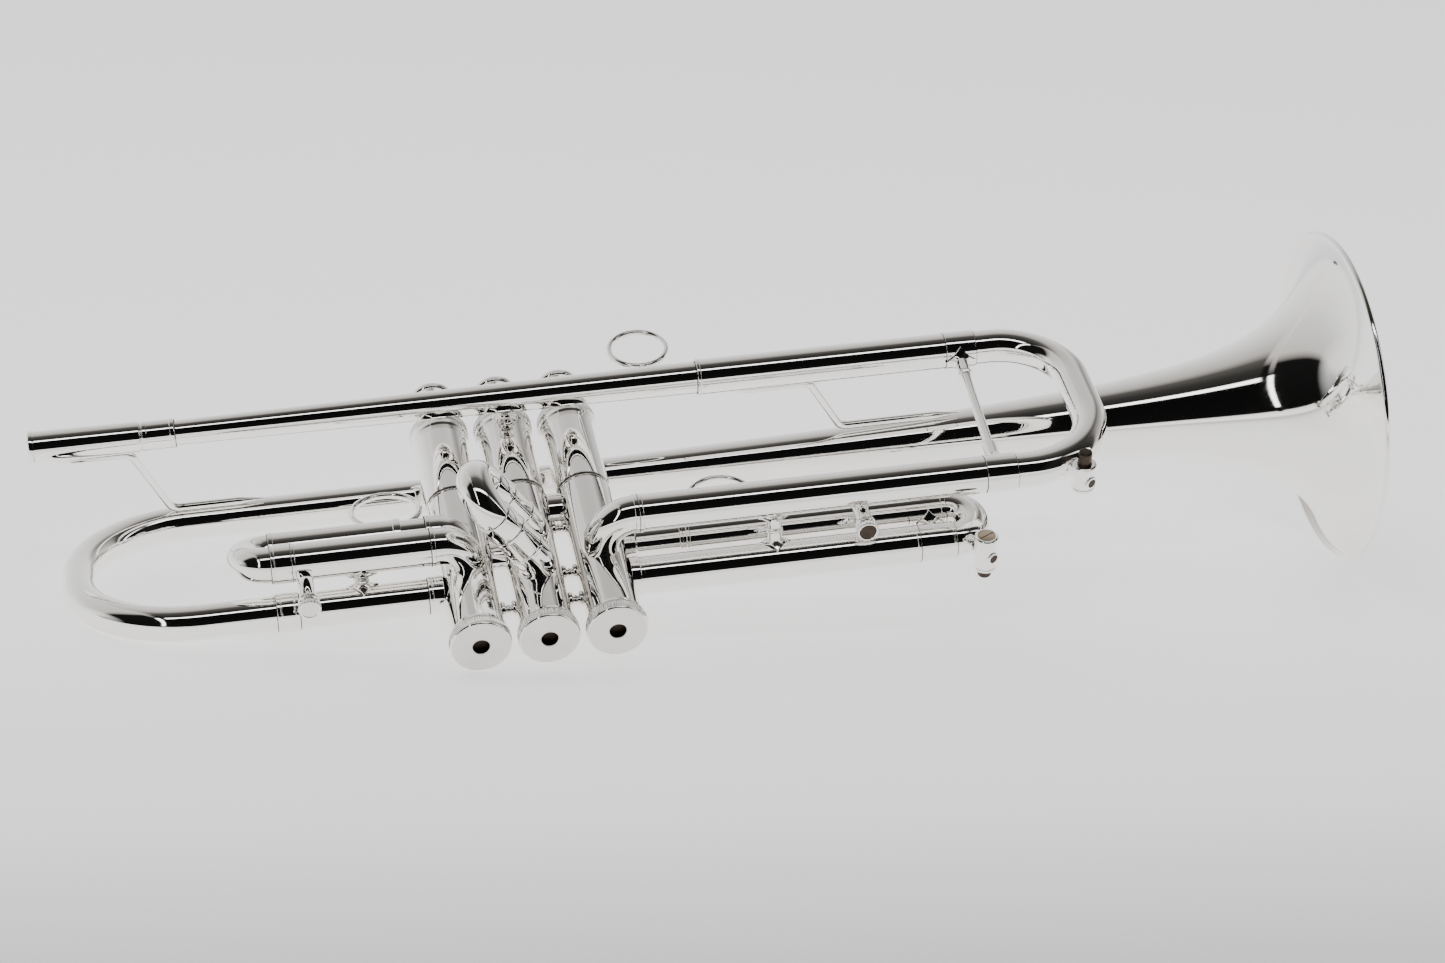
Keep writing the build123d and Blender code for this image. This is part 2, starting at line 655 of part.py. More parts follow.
def first_slide_knuckles():
    """The two elbows from the first valve to its slide."""
    x = VALVE_X[0]
    bend = 8.6
    elbows = []
    for y, z in (FIRST_LOW, FIRST_HIGH):
        points = [(FIRST_KNUCKLE_X, y, z), (x, y, z), (x, y + bend + 1.0, z)]
        elbow = bent_pipe(points, bend, SLEEVE_R, BORE_R)
        elbow += pipe((FIRST_KNUCKLE_X - 0.01, y, z), (FIRST_KNUCKLE_X + 1.2, y, z), SLEEVE_R + 0.3, BORE_R)
        elbows.append(elbow - valve_core(0))
    return Compound(elbows)


def first_slide_tubes():
    """The fixed tubes of the first slide: an outer one below and an inner one above."""
    y, z = FIRST_LOW
    end_x = FIRST_SLEEVE_END_X
    outer = pipe((end_x, y, z), (FIRST_KNUCKLE_X - 0.02, y, z), SLEEVE_R, LEG_R + SLIP)
    outer += pipe((end_x, y, z), (end_x + 1.0, y, z), SLEEVE_R + 0.25, LEG_R + SLIP)
    y, z = FIRST_HIGH
    inner = pipe((-78.0, y, z), (FIRST_KNUCKLE_X - 0.02, y, z), LEG_R, BORE_R)
    return Compound([outer, inner])


def first_slide_crook():
    low, high = (FIRST_CROOK_X, *FIRST_LOW), (FIRST_CROOK_X, *FIRST_HIGH)
    return return_crook(low, high, (-1, 0, 0), LEG_R + 0.15, BORE_R)


def first_slide_leg():
    y, z = FIRST_LOW
    leg = pipe((FIRST_CROOK_X, y, z), (-50.0, y, z), LEG_R, BORE_R)
    return leg + pipe((FIRST_CROOK_X, y, z), (FIRST_SLEEVE_END_X - 0.15, y, z), SLEEVE_R + 0.25, BORE_R)


def first_slide_sleeve():
    y, z = FIRST_HIGH
    sleeve = pipe((-88.2, y, z), (-43.5, y, z), SLEEVE_R, LEG_R + SLIP)
    sleeve += pipe((-46.0, y, z), (-43.5, y, z), SLEEVE_R + 0.3, LEG_R + SLIP)
    return sleeve + pipe((FIRST_CROOK_X, y, z), (-86.9, y, z), SLEEVE_R + 0.25, BORE_R)


def thumb_ring():
    y, z = FIRST_HIGH
    ring = finger_ring((FIRST_RING_X, y, z), SLEEVE_R, 19.7, 11.75, FINGER_WIRE, THUMB_RING_LEAN)
    collar = rod((-46.02, y, z), (-43.0, y, z), SLEEVE_R + 0.32)
    return ring - collar


# ---------------------------------------------------------------- second slide
SECOND_BASE_Y = -12.4
SECOND_SLEEVE = 17.2
SECOND_CROOK = 25.0


def swing(distance, z):
    """A point on the second slide, measured out from its elbow."""
    turn = radians(SECOND_SWING)
    return (-distance * sin(turn), SECOND_BASE_Y - distance * cos(turn), z)


def second_slide_tubes():
    """The two outer tubes with the elbows that join them to the second valve."""
    tubes = []
    for z in (SECOND_LOW_Z, SECOND_HIGH_Z):
        points = [(0, -5.0, z), (0, SECOND_BASE_Y, z), swing(6.0, z)]
        elbow = bent_pipe(points, 8.0, SLEEVE_R, BORE_R)
        sleeve = pipe(swing(5.99, z), swing(SECOND_SLEEVE, z), SLEEVE_R, LEG_R + SLIP)
        rings = pipe(swing(5.99, z), swing(7.4, z), SLEEVE_R + 0.3, LEG_R + SLIP)
        rings += pipe(swing(SECOND_SLEEVE - 1.2, z), swing(SECOND_SLEEVE, z), SLEEVE_R + 0.3, LEG_R + SLIP)
        tubes.append(elbow - valve_core(1) + sleeve + rings)
    return Compound(tubes)


def second_slide_legs():
    legs = []
    for z in (SECOND_LOW_Z, SECOND_HIGH_Z):
        leg = pipe(swing(6.4, z), swing(SECOND_CROOK, z), LEG_R, BORE_R)
        leg += pipe(swing(SECOND_SLEEVE + 0.15, z), swing(SECOND_CROOK, z), SLEEVE_R + 0.1, BORE_R)
        legs.append(leg)
    return Compound(legs)


def second_slide_crook():
    low, high = swing(SECOND_CROOK, SECOND_LOW_Z), swing(SECOND_CROOK, SECOND_HIGH_Z)
    turn = radians(SECOND_SWING)
    return return_crook(low, high, (-sin(turn), -cos(turn), 0), LEG_R + 0.15, BORE_R)


# ---------------------------------------------------------------- third slide
THIRD_SLEEVE_END_X = 131.8
THIRD_CROOK_X = 144.5
THIRD_RING_X = 69.7


def third_slide_tubes():
    """The fixed tubes of the third slide: an outer one below and an inner one above."""
    start_x = VALVE_X[2]
    inner = pipe((start_x, 0, THIRD_HIGH_Z), (104.0, 0, THIRD_HIGH_Z), LEG_R, BORE_R)
    inner += pipe((start_x, 0, THIRD_HIGH_Z), (36.2, 0, THIRD_HIGH_Z), FERRULE_R - 0.15, BORE_R)
    tube = pipe((36.0, 0, THIRD_LOW_Z), (THIRD_SLEEVE_END_X, 0, THIRD_LOW_Z), SLEEVE_R, LEG_R + SLIP)
    tube += pipe((start_x, 0, THIRD_LOW_Z), (36.01, 0, THIRD_LOW_Z), FERRULE_R - 0.15, BORE_R)
    tube += pipe((THIRD_SLEEVE_END_X - 1.0, 0, THIRD_LOW_Z), (THIRD_SLEEVE_END_X, 0, THIRD_LOW_Z),
                 SLEEVE_R + 0.2, LEG_R + SLIP)
    return Compound([tube - valve_core(2), inner - valve_core(2)])


def third_slide_leg():
    leg = pipe((62.0, 0, THIRD_LOW_Z), (THIRD_CROOK_X, 0, THIRD_LOW_Z), LEG_R, BORE_R)
    return leg + pipe((THIRD_SLEEVE_END_X + 0.15, 0, THIRD_LOW_Z), (THIRD_CROOK_X, 0, THIRD_LOW_Z),
                      SLEEVE_R + 0.1, BORE_R)


def third_slide_sleeve():
    sleeve = pipe((51.0, 0, THIRD_HIGH_Z), (144.3, 0, THIRD_HIGH_Z), SLEEVE_R, LEG_R + SLIP)
    sleeve += pipe((51.0, 0, THIRD_HIGH_Z), (54.2, 0, THIRD_HIGH_Z), SLEEVE_R + 0.3, LEG_R + SLIP)
    return sleeve + pipe((143.0, 0, THIRD_HIGH_Z), (THIRD_CROOK_X, 0, THIRD_HIGH_Z), SLEEVE_R + 0.2, BORE_R)


def third_slide_crook():
    low, high = (THIRD_CROOK_X, 0, THIRD_LOW_Z), (THIRD_CROOK_X, 0, THIRD_HIGH_Z)
    return return_crook(low, high, (1, 0, 0), LEG_R + 0.15, BORE_R)


def third_finger_ring():
    spot = (THIRD_RING_X, 0, THIRD_HIGH_Z)
    return finger_ring(spot, SLEEVE_R, 19.65, 11.7, FINGER_WIRE, 0)


def tube_brace(x, low, high, low_r, high_r, post_r):
    """A short post between two tubes, with a diamond flange on each."""
    start, end = (x, *low), (x, *high)
    middle_run = rod(start, end, post_r)
    toward_high = (Vector(*end) - Vector(*start)).normalized()
    near_low = along(start, end, low_r - 1.0)
    near_high = along(end, start, high_r - 1.0)
    brace = middle_run
    brace += diamond(near_low, tuple(toward_high), 4.6, 3.8, 1.7)
    brace += diamond(near_high, tuple(toward_high * -1), 4.6, 3.8, 1.7)
    centre = along(start, end, (Vector(*end) - Vector(*start)).length / 2)
    bead_plane = Plane(origin=centre, z_dir=toward_high)
    brace += bead_plane * Cylinder(post_r + 0.6, 0.9)
    brace -= rod((x - 9, *low), (x + 9, *low), low_r + 0.02)
    brace -= rod((x - 9, *high), (x + 9, *high), high_r + 0.02)
    return brace


def third_slide_brace():
    return tube_brace(138.2, (0, THIRD_LOW_Z), (0, THIRD_HIGH_Z), SLEEVE_R + 0.1, SLEEVE_R, 2.0)


# ---------------------------------------------------------------- lyre screws
SCREW_HEAD_R = 4.0
SCREW_SHANK_R = 1.5
FIRST_SCREW = (-77.5, -12.0, 14.6)
THIRD_SCREW = (112.9, -11.6, 22.4)


def screw_bracket(spot, block_low, block_high, tubes):
    """A drilled block that holds a thumbscrew between two tubes."""
    x, y, z = spot
    post = rod((x, y, block_low), (x, y, block_high), 3.0)
    post += rod((x, y, block_low), (x, y, block_low + 1.2), 3.6)
    for tube_y, tube_z, _ in tubes:
        arm_z = min(max(tube_z, block_low + 3.0), block_high - 2.0)
        post += rod((x, y, arm_z), (x, tube_y, tube_z), 2.6)
    for tube_y, tube_z, tube_r in tubes:
        post -= rod((x - 9, tube_y, tube_z), (x + 9, tube_y, tube_z), tube_r + 0.02)
    return post - rod((x, y, block_low - 1), (x, y, block_low + 9.0), SCREW_SHANK_R + SLIP)


def first_slide_mounts():
    """The brace and the drilled block between the bell tail and the first slide."""
    brace = tube_brace(-58.8, (0, TAIL_Z), FIRST_LOW, BOW_R, SLEEVE_R, 2.3)
    block = screw_bracket(FIRST_SCREW, FIRST_SCREW[2] + 4.0, 32.0, [(*FIRST_LOW, SLEEVE_R), (0, TAIL_Z, BOW_R)])
    return Compound([brace, block])


def third_slide_mounts():
    """The brace and the drilled block between the tuning slide and the third slide."""
    brace = tube_brace(82.0, (0, THIRD_LOW_Z), (LEAD_Y, TUNING_Z), SLEEVE_R, SLEEVE_R, 2.6)
    block = screw_bracket(THIRD_SCREW, THIRD_SCREW[2] + 4.0, 37.0,
                          [(LEAD_Y, TUNING_Z, SLEEVE_R), (0, THIRD_LOW_Z, SLEEVE_R)])
    return Compound([brace, block])


def thumbscrew(spot):
    """A flat-headed thumbscrew that points up into its block."""
    x, y, z = spot
    plane = Plane(origin=(x, y, z))
    screw = turned(plane, [
        (0, 0), (3.6, 0), (SCREW_HEAD_R, 0.4), (SCREW_HEAD_R, 2.2), (3.6, 2.6), (2.2, 2.8), (2.2, 3.7),
        (SCREW_SHANK_R, 3.7), (SCREW_SHANK_R, 11.0), (0, 11.0),
    ])
    count = 20
    for number in range(count):
        angle = 2 * pi * number / count
        edge = (x + 4.2 * cos(angle), y + 4.2 * sin(angle), z + 1.3)
        screw -= Location(edge) * Cylinder(0.38, 3)
    return screw


# ---------------------------------------------------------------- the nodes
NODES = {
    "mouthpiece_receiver": mouthpiece_receiver(),
    "leadpipe": leadpipe(),
    "leadpipe_brace": leadpipe_brace(),
    "pinky_ring": pinky_ring(),
    "rear_s_brace": rear_s_brace(),
    "front_s_brace": front_s_brace(),
    "upper_slide_tube": upper_slide_tube(),
    "lower_slide_tube": lower_slide_tube(),
    "third_valve_knuckle": third_valve_knuckle(),
    "bell_flare": bell_flare(),
    "bell_throat": bell_throat(),
    "bell_stem": bell_stem(),
    "bell_bow": bell_bow(),
    "bell_tail": bell_tail(),
    "crossover_tubes": crossover_tubes(),
    "bottom_caps": Compound([bottom_cap(x) for x in VALVE_X]),
    "top_caps": Compound([top_cap(x) for x in VALVE_X]),
    "first_slide_knuckles": first_slide_knuckles(),
    "first_slide_tubes": first_slide_tubes(),
    "first_slide_mounts": first_slide_mounts(),
    "second_slide_tubes": second_slide_tubes(),
    "third_slide_tubes": third_slide_tubes(),
    "third_slide_mounts": third_slide_mounts(),
    "tuning_bow": tuning_bow(),
    "tuning_slide_legs": tuning_slide_legs(),
    "tuning_slide_brace": tuning_slide_brace(),
    "tuning_water_key": tuning_water_key(),
    "tuning_key_plunger": key_plunger(TUNING_KEY),
    "tuning_key_spring": key_spring(TUNING_KEY),
    "first_slide_crook": first_slide_crook(),
    "first_slide_leg": first_slide_leg(),
    "first_slide_sleeve": first_slide_sleeve(),
    "thumb_ring": thumb_ring(),
    "second_slide_crook": second_slide_crook(),
    "second_slide_legs": second_slide_legs(),
    "third_slide_crook": third_slide_crook(),
    "third_slide_leg": third_slide_leg(),
    "third_slide_sleeve": third_slide_sleeve(),
    "third_finger_ring": third_finger_ring(),
    "third_slide_brace": third_slide_brace(),
    "third_water_key": third_water_key(),
    "third_key_plunger": key_plunger(THIRD_KEY),
    "third_key_spring": key_spring(THIRD_KEY),
    "first_thumbscrew": thumbscrew(FIRST_SCREW),
    "third_thumbscrew": thumbscrew(THIRD_SCREW),
}
for valve in range(3):
    NODES[f"valve_casing_{valve + 1}"] = valve_casing(valve)
    NODES[f"valve_piston_{valve + 1}"] = valve_piston(valve)
    NODES[f"valve_button_{valve + 1}"] = valve_button(valve)
    NODES[f"button_pearl_{valve + 1}"] = button_pearl(valve)
    NODES[f"valve_spring_{valve + 1}"] = valve_spring(valve)

lie_down = Location(REST_SHIFT) * Rotation(0, REST_PITCH, 0) * Rotation(REST_ROLL, 0, 0)
for name, shape in NODES.items():
    export_step(lie_down * shape, f"parts/{name}.step")
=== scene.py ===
"""The looks of a silver-plated trumpet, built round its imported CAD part.

Pieces are drawn in the player's frame in millimetres (X forward to the bell, Y to the
player's left, Z up the valves, origin at the second valve's bottom cap) and then laid
down with the same placement as the CAD part.
"""
from math import atan2, cos, pi, radians, sin, sqrt

import bmesh
import bpy
from mathutils import Matrix, Vector


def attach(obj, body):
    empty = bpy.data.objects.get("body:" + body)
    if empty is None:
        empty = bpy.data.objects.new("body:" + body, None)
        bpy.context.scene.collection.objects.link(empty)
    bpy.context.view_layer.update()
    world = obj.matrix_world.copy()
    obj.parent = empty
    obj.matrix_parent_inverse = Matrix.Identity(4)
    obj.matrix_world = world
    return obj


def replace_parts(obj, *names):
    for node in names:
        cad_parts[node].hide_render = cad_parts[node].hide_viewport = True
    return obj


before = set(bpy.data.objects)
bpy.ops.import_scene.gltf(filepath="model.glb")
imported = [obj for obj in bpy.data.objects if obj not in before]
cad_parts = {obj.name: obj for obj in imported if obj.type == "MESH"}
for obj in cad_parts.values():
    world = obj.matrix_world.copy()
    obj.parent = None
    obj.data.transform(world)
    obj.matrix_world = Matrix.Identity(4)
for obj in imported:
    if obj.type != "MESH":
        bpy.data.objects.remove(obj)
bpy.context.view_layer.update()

# ---------------------------------------------------------------- placement
LIE = (Matrix.Translation((-0.07203, -0.08621, 0.01240)) @ Matrix.Rotation(radians(-6.48), 4, "Y")
       @ Matrix.Rotation(radians(-71.48), 4, "X") @ Matrix.Scale(0.001, 4))

VALVE_X = (-22.96, 0.0, 22.96)
LEAD_Y, LEAD_Z = -21.3, 107.4
TUNING_Z = 34.7
TAIL_Z = 29.3
BELL_Y, BELL_Z = 22.6, 112.2
LEG_R, SLEEVE_R, BOW_R = 5.9, 6.4, 6.1


# ---------------------------------------------------------------- mesh data
def across(axis):
    """Two unit directions square to an axis and to each other."""
    axis = Vector(axis).normalized()
    side = Vector((0, 0, 1)) if abs(axis.z) < 0.9 else Vector((1, 0, 0))
    first = axis.cross(side).normalized()
    return first, axis.cross(first)


def soften(outline, radius=0.2, steps=4, closed=True):
    """The outline with each of its corners rounded."""
    points = [Vector(p) for p in outline]
    count = len(points)
    rounded = []
    for number, corner in enumerate(points):
        if not closed and number in (0, count - 1):
            rounded.append(corner)
            continue
        before, after = points[number - 1] - corner, points[(number + 1) % count] - corner
        if before.length < 1e-6 or after.length < 1e-6 or corner.x < 1e-6:
            rounded.append(corner)
            continue
        straight = before.angle(after)
        if straight > radians(174):
            rounded.append(corner)
            continue
        reach = min(radius, 0.42 * before.length, 0.42 * after.length)
        start, end = corner + before.normalized() * reach, corner + after.normalized() * reach
        for step in range(steps + 1):
            t = step / steps
            rounded.append(start * (1 - t) ** 2 + corner * 2 * t * (1 - t) + end * t * t)
    return [(p.x, p.y) for p in rounded]


def lathe(outline, origin, axis, segments=96, closed=True, ripple=None):
    """An outline of (radius, height) points turned about an axis."""
    axis, origin = Vector(axis).normalized(), Vector(origin)
    u, v = across(axis)
    points, faces = [], []
    for r, h in outline:
        for k in range(segments):
            a = 2 * pi * k / segments
            radius = r + ripple(r, h, a) if ripple else r
            points.append(origin + axis * h + (u * cos(a) + v * sin(a)) * radius)
    rows = len(outline)
    for i in range(rows if closed else rows - 1):
        j = (i + 1) % rows
        for k in range(segments):
            m = (k + 1) % segments
            faces.append((i * segments + k, i * segments + m, j * segments + m, j * segments + k))
    return points, faces


def along_x(outline, y, z, segments=96, ripple=None):
    """A turned tube on an axis along X, from (radius, x) points."""
    return lathe(outline, (0, y, z), (1, 0, 0), segments, True, ripple)


def upright(outline, x, y=0.0, segments=96, ripple=None):
    """A turned piece on an axis along Z, from (radius, z) points."""
    return lathe(outline, (x, y, 0), (0, 0, 1), segments, True, ripple)


def route(points, radii, turn_step=3.0):
    """Points along straight runs joined by tangent bends."""
    points = [Vector(p) for p in points]
    path = [points[0]]
    for number in range(1, len(points) - 1):
        corner, radius = points[number], radii[number - 1]
        back = (points[number - 1] - corner).normalized()
        ahead = (points[number + 1] - corner).normalized()
        angle = pi - back.angle(ahead)
        if angle < 1e-4:
            path.append(corner)
            continue
        reach = radius * sin(angle / 2) / cos(angle / 2)
        middle = corner + (back + ahead).normalized() * (radius / cos(angle / 2))
        start, end = corner + back * reach - middle, corner + ahead * reach - middle
        steps = max(4, int(angle / radians(turn_step)))
        for step in range(steps + 1):
            t = step / steps
            spread = sin((1 - t) * angle), sin(t * angle)
            path.append(middle + (start * spread[0] + end * spread[1]) / sin(angle)
                        if angle < pi - 1e-3 else middle + start.slerp(end, t))
    path.append(points[-1])
    return path


def half_turn(low, high, forward, steps=48):
    """Points along a half circle from low to high that bulges forward."""
    low, high, forward = Vector(low), Vector(high), Vector(forward).normalized()
    middle, reach = (low + high) / 2, (low - high) / 2
    return [middle + reach * cos(pi * s / steps) + forward * (reach.length * sin(pi * s / steps))
            for s in range(steps + 1)]


def divide(path, longest):
    """The path with long straight runs cut into shorter ones."""
    cut = [path[0]]
    for point in path[1:]:
        run = point - cut[-1]
        count = max(1, int(run.length / longest))
        start = cut[-1]
        cut.extend(start + run * (k / count) for k in range(1, count + 1))
    return cut


def sweep(path, radius, segments=64, flat=1.0, flat_toward=None, closed=False):
    """A round bar along a path. radius may be a function of the distance along it."""
    path = [Vector(p) for p in path]
    count = len(path)
    tangents = []
    for number in range(count):
        if closed:
            run = path[(number + 1) % count] - path[number - 1]
        else:
            run = path[min(number + 1, count - 1)] - path[max(number - 1, 0)]
        tangents.append(run.normalized())
    if flat_toward:
        u = (flat_toward - tangents[0] * flat_toward.dot(tangents[0])).normalized()
    else:
        u = across(tangents[0])[0]
    points, faces, length = [], [], 0.0
    for number, (centre, tangent) in enumerate(zip(path, tangents)):
        if number:
            length += (centre - path[number - 1]).length
        u = (u - tangent * u.dot(tangent)).normalized()
        v = tangent.cross(u)
        r = radius(length) if callable(radius) else radius
        for k in range(segments):
            a = 2 * pi * k / segments
            points.append(centre + u * (cos(a) * r * flat) + v * (sin(a) * r))
    for i in range(count if closed else count - 1):
        j = (i + 1) % count
        for k in range(segments):
            m = (k + 1) % segments
            faces.append((i * segments + k, i * segments + m, j * segments + m, j * segments + k))
    if not closed:
        faces.append(tuple(reversed(range(segments))))
        faces.append(tuple((count - 1) * segments + k for k in range(segments)))
    return points, faces


def merge(*parts):
    """Several sets of mesh data as one."""
    points, faces = [], []
    for more_points, more_faces in parts:
        base = len(points)
        points.extend(more_points)
        faces.extend(tuple(index + base for index in face) for face in more_faces)
    return points, faces


def make(name, data, material, body="instrument", angle=32):
    """A piece from mesh data in the player's frame, laid down and riding on its body."""
    points, faces = data
    mesh = bpy.data.meshes.new(name)
    mesh.from_pydata([tuple(p) for p in points], [], faces)
    mesh.transform(LIE)
    work = bmesh.new()
    work.from_mesh(mesh)
    bmesh.ops.remove_doubles(work, verts=work.verts, dist=2e-7)
    bmesh.ops.dissolve_degenerate(work, edges=work.edges, dist=1e-8)
    bmesh.ops.recalc_face_normals(work, faces=work.faces)
    work.to_mesh(mesh)
    work.free()
    for polygon in mesh.polygons:
        polygon.use_smooth = True
    mesh.set_sharp_from_angle(angle=radians(angle))
    obj = bpy.data.objects.new(name, mesh)
    bpy.context.scene.collection.objects.link(obj)
    mesh.materials.append(material)
    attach(obj, body)
    return obj


def cut(obj, data):
    """Takes mesh data out of a piece, and keeps the piece's smooth shading."""
    cutter = make(obj.name + "_cutter", data, obj.data.materials[0])
    change = obj.modifiers.new("cut", "BOOLEAN")
    change.operation, change.object, change.solver = "DIFFERENCE", cutter, "EXACT"
    bpy.context.view_layer.update()
    mesh = bpy.data.meshes.new_from_object(obj.evaluated_get(bpy.context.evaluated_depsgraph_get()))
    obj.modifiers.clear()
    obj.data = mesh
    mesh.set_sharp_from_angle(angle=radians(32))
    bpy.data.objects.remove(cutter)


def recolour(node, material):
    """Gives a CAD mesh that stays in view its material."""
    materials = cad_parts[node].data.materials
    materials.clear()
    materials.append(material)


# ---------------------------------------------------------------- materials
def new_material(name):
    """A material with a principled shader, and where its textures are placed."""
    material = bpy.data.materials.new(name)
    material.use_nodes = True
    nodes = material.node_tree.nodes
    nodes.clear()
    output = nodes.new("ShaderNodeOutputMaterial")
    shader = nodes.new("ShaderNodeBsdfPrincipled")
    material.node_tree.links.new(shader.outputs["BSDF"], output.inputs["Surface"])
    place = nodes.new("ShaderNodeTexCoord")
    return material, nodes, material.node_tree.links, shader, place


def noise(nodes, links, place, scale, detail=4.0, rough=0.5, stretch=(1, 1, 1)):
    """A noise texture in the object's own space."""
    mapping = nodes.new("ShaderNodeMapping")
    mapping.inputs["Scale"].default_value = stretch
    links.new(place.outputs["Object"], mapping.inputs["Vector"])
    texture = nodes.new("ShaderNodeTexNoise")
    texture.inputs["Scale"].default_value = scale
    texture.inputs["Detail"].default_value = detail
    texture.inputs["Roughness"].default_value = rough
    links.new(mapping.outputs["Vector"], texture.inputs["Vector"])
    return texture.outputs["Fac"]


def ramp(nodes, links, source, stops):
    """A colour ramp; each stop is a position and a colour."""
    node = nodes.new("ShaderNodeValToRGB")
    elements = node.color_ramp.elements
    elements[0].position, elements[0].color = stops[0][0], (*stops[0][1], 1)
    elements[1].position, elements[1].color = stops[-1][0], (*stops[-1][1], 1)
    for position, color in stops[1:-1]:
        elements.new(position).color = (*color, 1)
    links.new(source, node.inputs["Fac"])
    return node.outputs["Color"]


def grey(value):
    return (value, value, value)


def metal(name, clean, tarnished, smooth, dull, bump=0.02, grain=900.0, tarnish=(0.5, 0.75)):
    """A metal whose colour and polish drift a little, with fine wiping marks."""
    material, nodes, links, shader, place = new_material(name)
    shader.inputs["Metallic"].default_value = 1.0
    broad = noise(nodes, links, place, 55.0, 5.0, 0.55)
    fine = noise(nodes, links, place, grain, 3.0, 0.6, (0.25, 1.0, 1.0))
    links.new(ramp(nodes, links, broad, [(tarnish[0], clean), (tarnish[1], tarnished)]),
              shader.inputs["Base Color"])
    links.new(ramp(nodes, links, fine, [(0.35, grey(smooth)), (0.75, grey(dull))]),
              shader.inputs["Roughness"])
    relief = nodes.new("ShaderNodeBump")
    relief.inputs["Strength"].default_value = bump
    relief.inputs["Distance"].default_value = 0.0004
    links.new(broad, relief.inputs["Height"])
    links.new(relief.outputs["Normal"], shader.inputs["Normal"])
    return material


silver = metal("silver", (0.965, 0.950, 0.925), (0.925, 0.895, 0.85), 0.028, 0.070, 0.03)
satin = metal("satin_silver", (0.84, 0.815, 0.78), (0.78, 0.75, 0.71), 0.30, 0.42, 0.05, 2500.0)
brass = metal("worn_plate", (0.90, 0.80, 0.58), (0.80, 0.66, 0.42), 0.10, 0.22, 0.03)
bronze = metal("bronze", (0.36, 0.29, 0.22), (0.24, 0.18, 0.13), 0.28, 0.45, 0.10, 1500.0)
# Dark bronze for the water key buttons and the third screw's face, and also painted shade in the cap wells, the drain
# holes and the step between the casings.
dark = metal("darkened_bronze_and_painted_shade", (0.060, 0.046, 0.036), (0.030, 0.022, 0.018), 0.30, 0.50, 0.12, 1500.0)
steel = metal("nickel_alloy", (0.58, 0.57, 0.55), (0.48, 0.46, 0.43), 0.18, 0.30, 0.03)
wire = metal("spring_wire", (0.62, 0.45, 0.30), (0.50, 0.34, 0.22), 0.22, 0.35, 0.03)


def pearl_material():
    material, nodes, links, shader, place = new_material("pearl")
    cloud = noise(nodes, links, place, 320.0, 4.0, 0.6, (1.0, 2.2, 1.0))
    links.new(ramp(nodes, links, cloud, [(0.30, (0.62, 0.60, 0.56)), (0.45, (0.86, 0.84, 0.79)),
                                        (0.58, (0.80, 0.86, 0.84)), (0.72, (0.90, 0.83, 0.84))]),
              shader.inputs["Base Color"])
    shader.inputs["Roughness"].default_value = 0.16
    shader.inputs["Coat Weight"].default_value = 0.6
    shader.inputs["Coat Roughness"].default_value = 0.05
    relief = nodes.new("ShaderNodeBump")
    relief.inputs["Strength"].default_value = 0.08
    relief.inputs["Distance"].default_value = 0.0003
    links.new(cloud, relief.inputs["Height"])
    links.new(relief.outputs["Normal"], shader.inputs["Normal"])
    return material


pearl = pearl_material()


# ---------------------------------------------------------------- bell
RIM_X, RIM_R, BEAD = 312.0, 62.0, 1.15
FLARE_SCALE, FLARE_POWER = 15.2, 0.811
STEM_R, BELL_WALL = 6.4, 0.6


def bell_radius(x):
    """The bell's outer radius: a power of the distance behind the rim."""
    back = RIM_X - x
    last = (FLARE_SCALE / (RIM_X + FLARE_SCALE)) ** FLARE_POWER
    base = (STEM_R - RIM_R * last) / (1 - last)
    return base + (RIM_R - base) * (FLARE_SCALE / (back + FLARE_SCALE)) ** FLARE_POWER


def bell():
    """The flare and stem in one skin, with a rolled bead at the rim."""
    stations = 110
    spots = [RIM_X - 0.75 - (RIM_X - 0.75) * (1 - k / stations) ** 2.4 for k in range(stations + 1)]
    outside = [(bell_radius(x), x) for x in spots]
    inside = []
    for x in reversed(spots):
        slope = (bell_radius(x + 0.02) - bell_radius(x - 0.02)) / 0.04
        size = sqrt(1 + slope * slope)
        inside.append((bell_radius(x) - BELL_WALL / size, x + BELL_WALL * slope / size))
    middle_r, middle_x = RIM_R - BEAD, RIM_X - BEAD
    bead = [(middle_r + BEAD * sin(radians(a)), middle_x + BEAD * cos(radians(a)))
            for a in range(262, -31, -12)]
    inside = [point for point in inside if point[0] < middle_r - 0.9]
    return along_x(outside + bead + inside, BELL_Y, BELL_Z, 256)


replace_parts(make("bell", bell(), silver), "bell_flare", "bell_throat", "bell_stem")


def ferrule(start, end, r, inner, groove=None):
    """A joining ring with rounded ends and, if asked, a fine groove."""
    outline = [(inner, start), (r, start)]
    for spot in groove or ():
        outline += [(r, spot - 0.22), (r - 0.22, spot - 0.1), (r - 0.22, spot + 0.1), (r, spot + 0.22)]
    return outline + [(r, end), (inner, end)]


BOW_X = -153.0
bow_path = route([(-0.2, BELL_Y, BELL_Z), (BOW_X, BELL_Y, BELL_Z), (BOW_X, 0, TAIL_Z), (-84.0, 0, TAIL_Z)],
                 [38.0, 40.0], 2.0)
bow_data = merge(
    sweep(divide(bow_path, 12.0), lambda s: 6.35 - 0.45 * min(1, s / 330), 72),
    along_x(soften(ferrule(-7.0, 7.0, 7.3, 6.2, (-6.0, 6.0)), 0.25), BELL_Y, BELL_Z))
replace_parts(make("bell_bow_skin", bow_data, silver), "bell_bow")

tail_data = merge(
    along_x(soften([(5.5, -86), (6.1, -86), (6.1, -33), (5.5, -33)], 0.1), 0, TAIL_Z),
    along_x(soften(ferrule(-88.0, -80.6, 6.75, 5.9, (-86.6, -82.0)), 0.2), 0, TAIL_Z),
    along_x(soften(ferrule(-37.0, -31.9, 6.7, 5.9, (-35.8,)), 0.2), 0, TAIL_Z))
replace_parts(make("bell_tail_skin", tail_data, silver), "bell_tail")

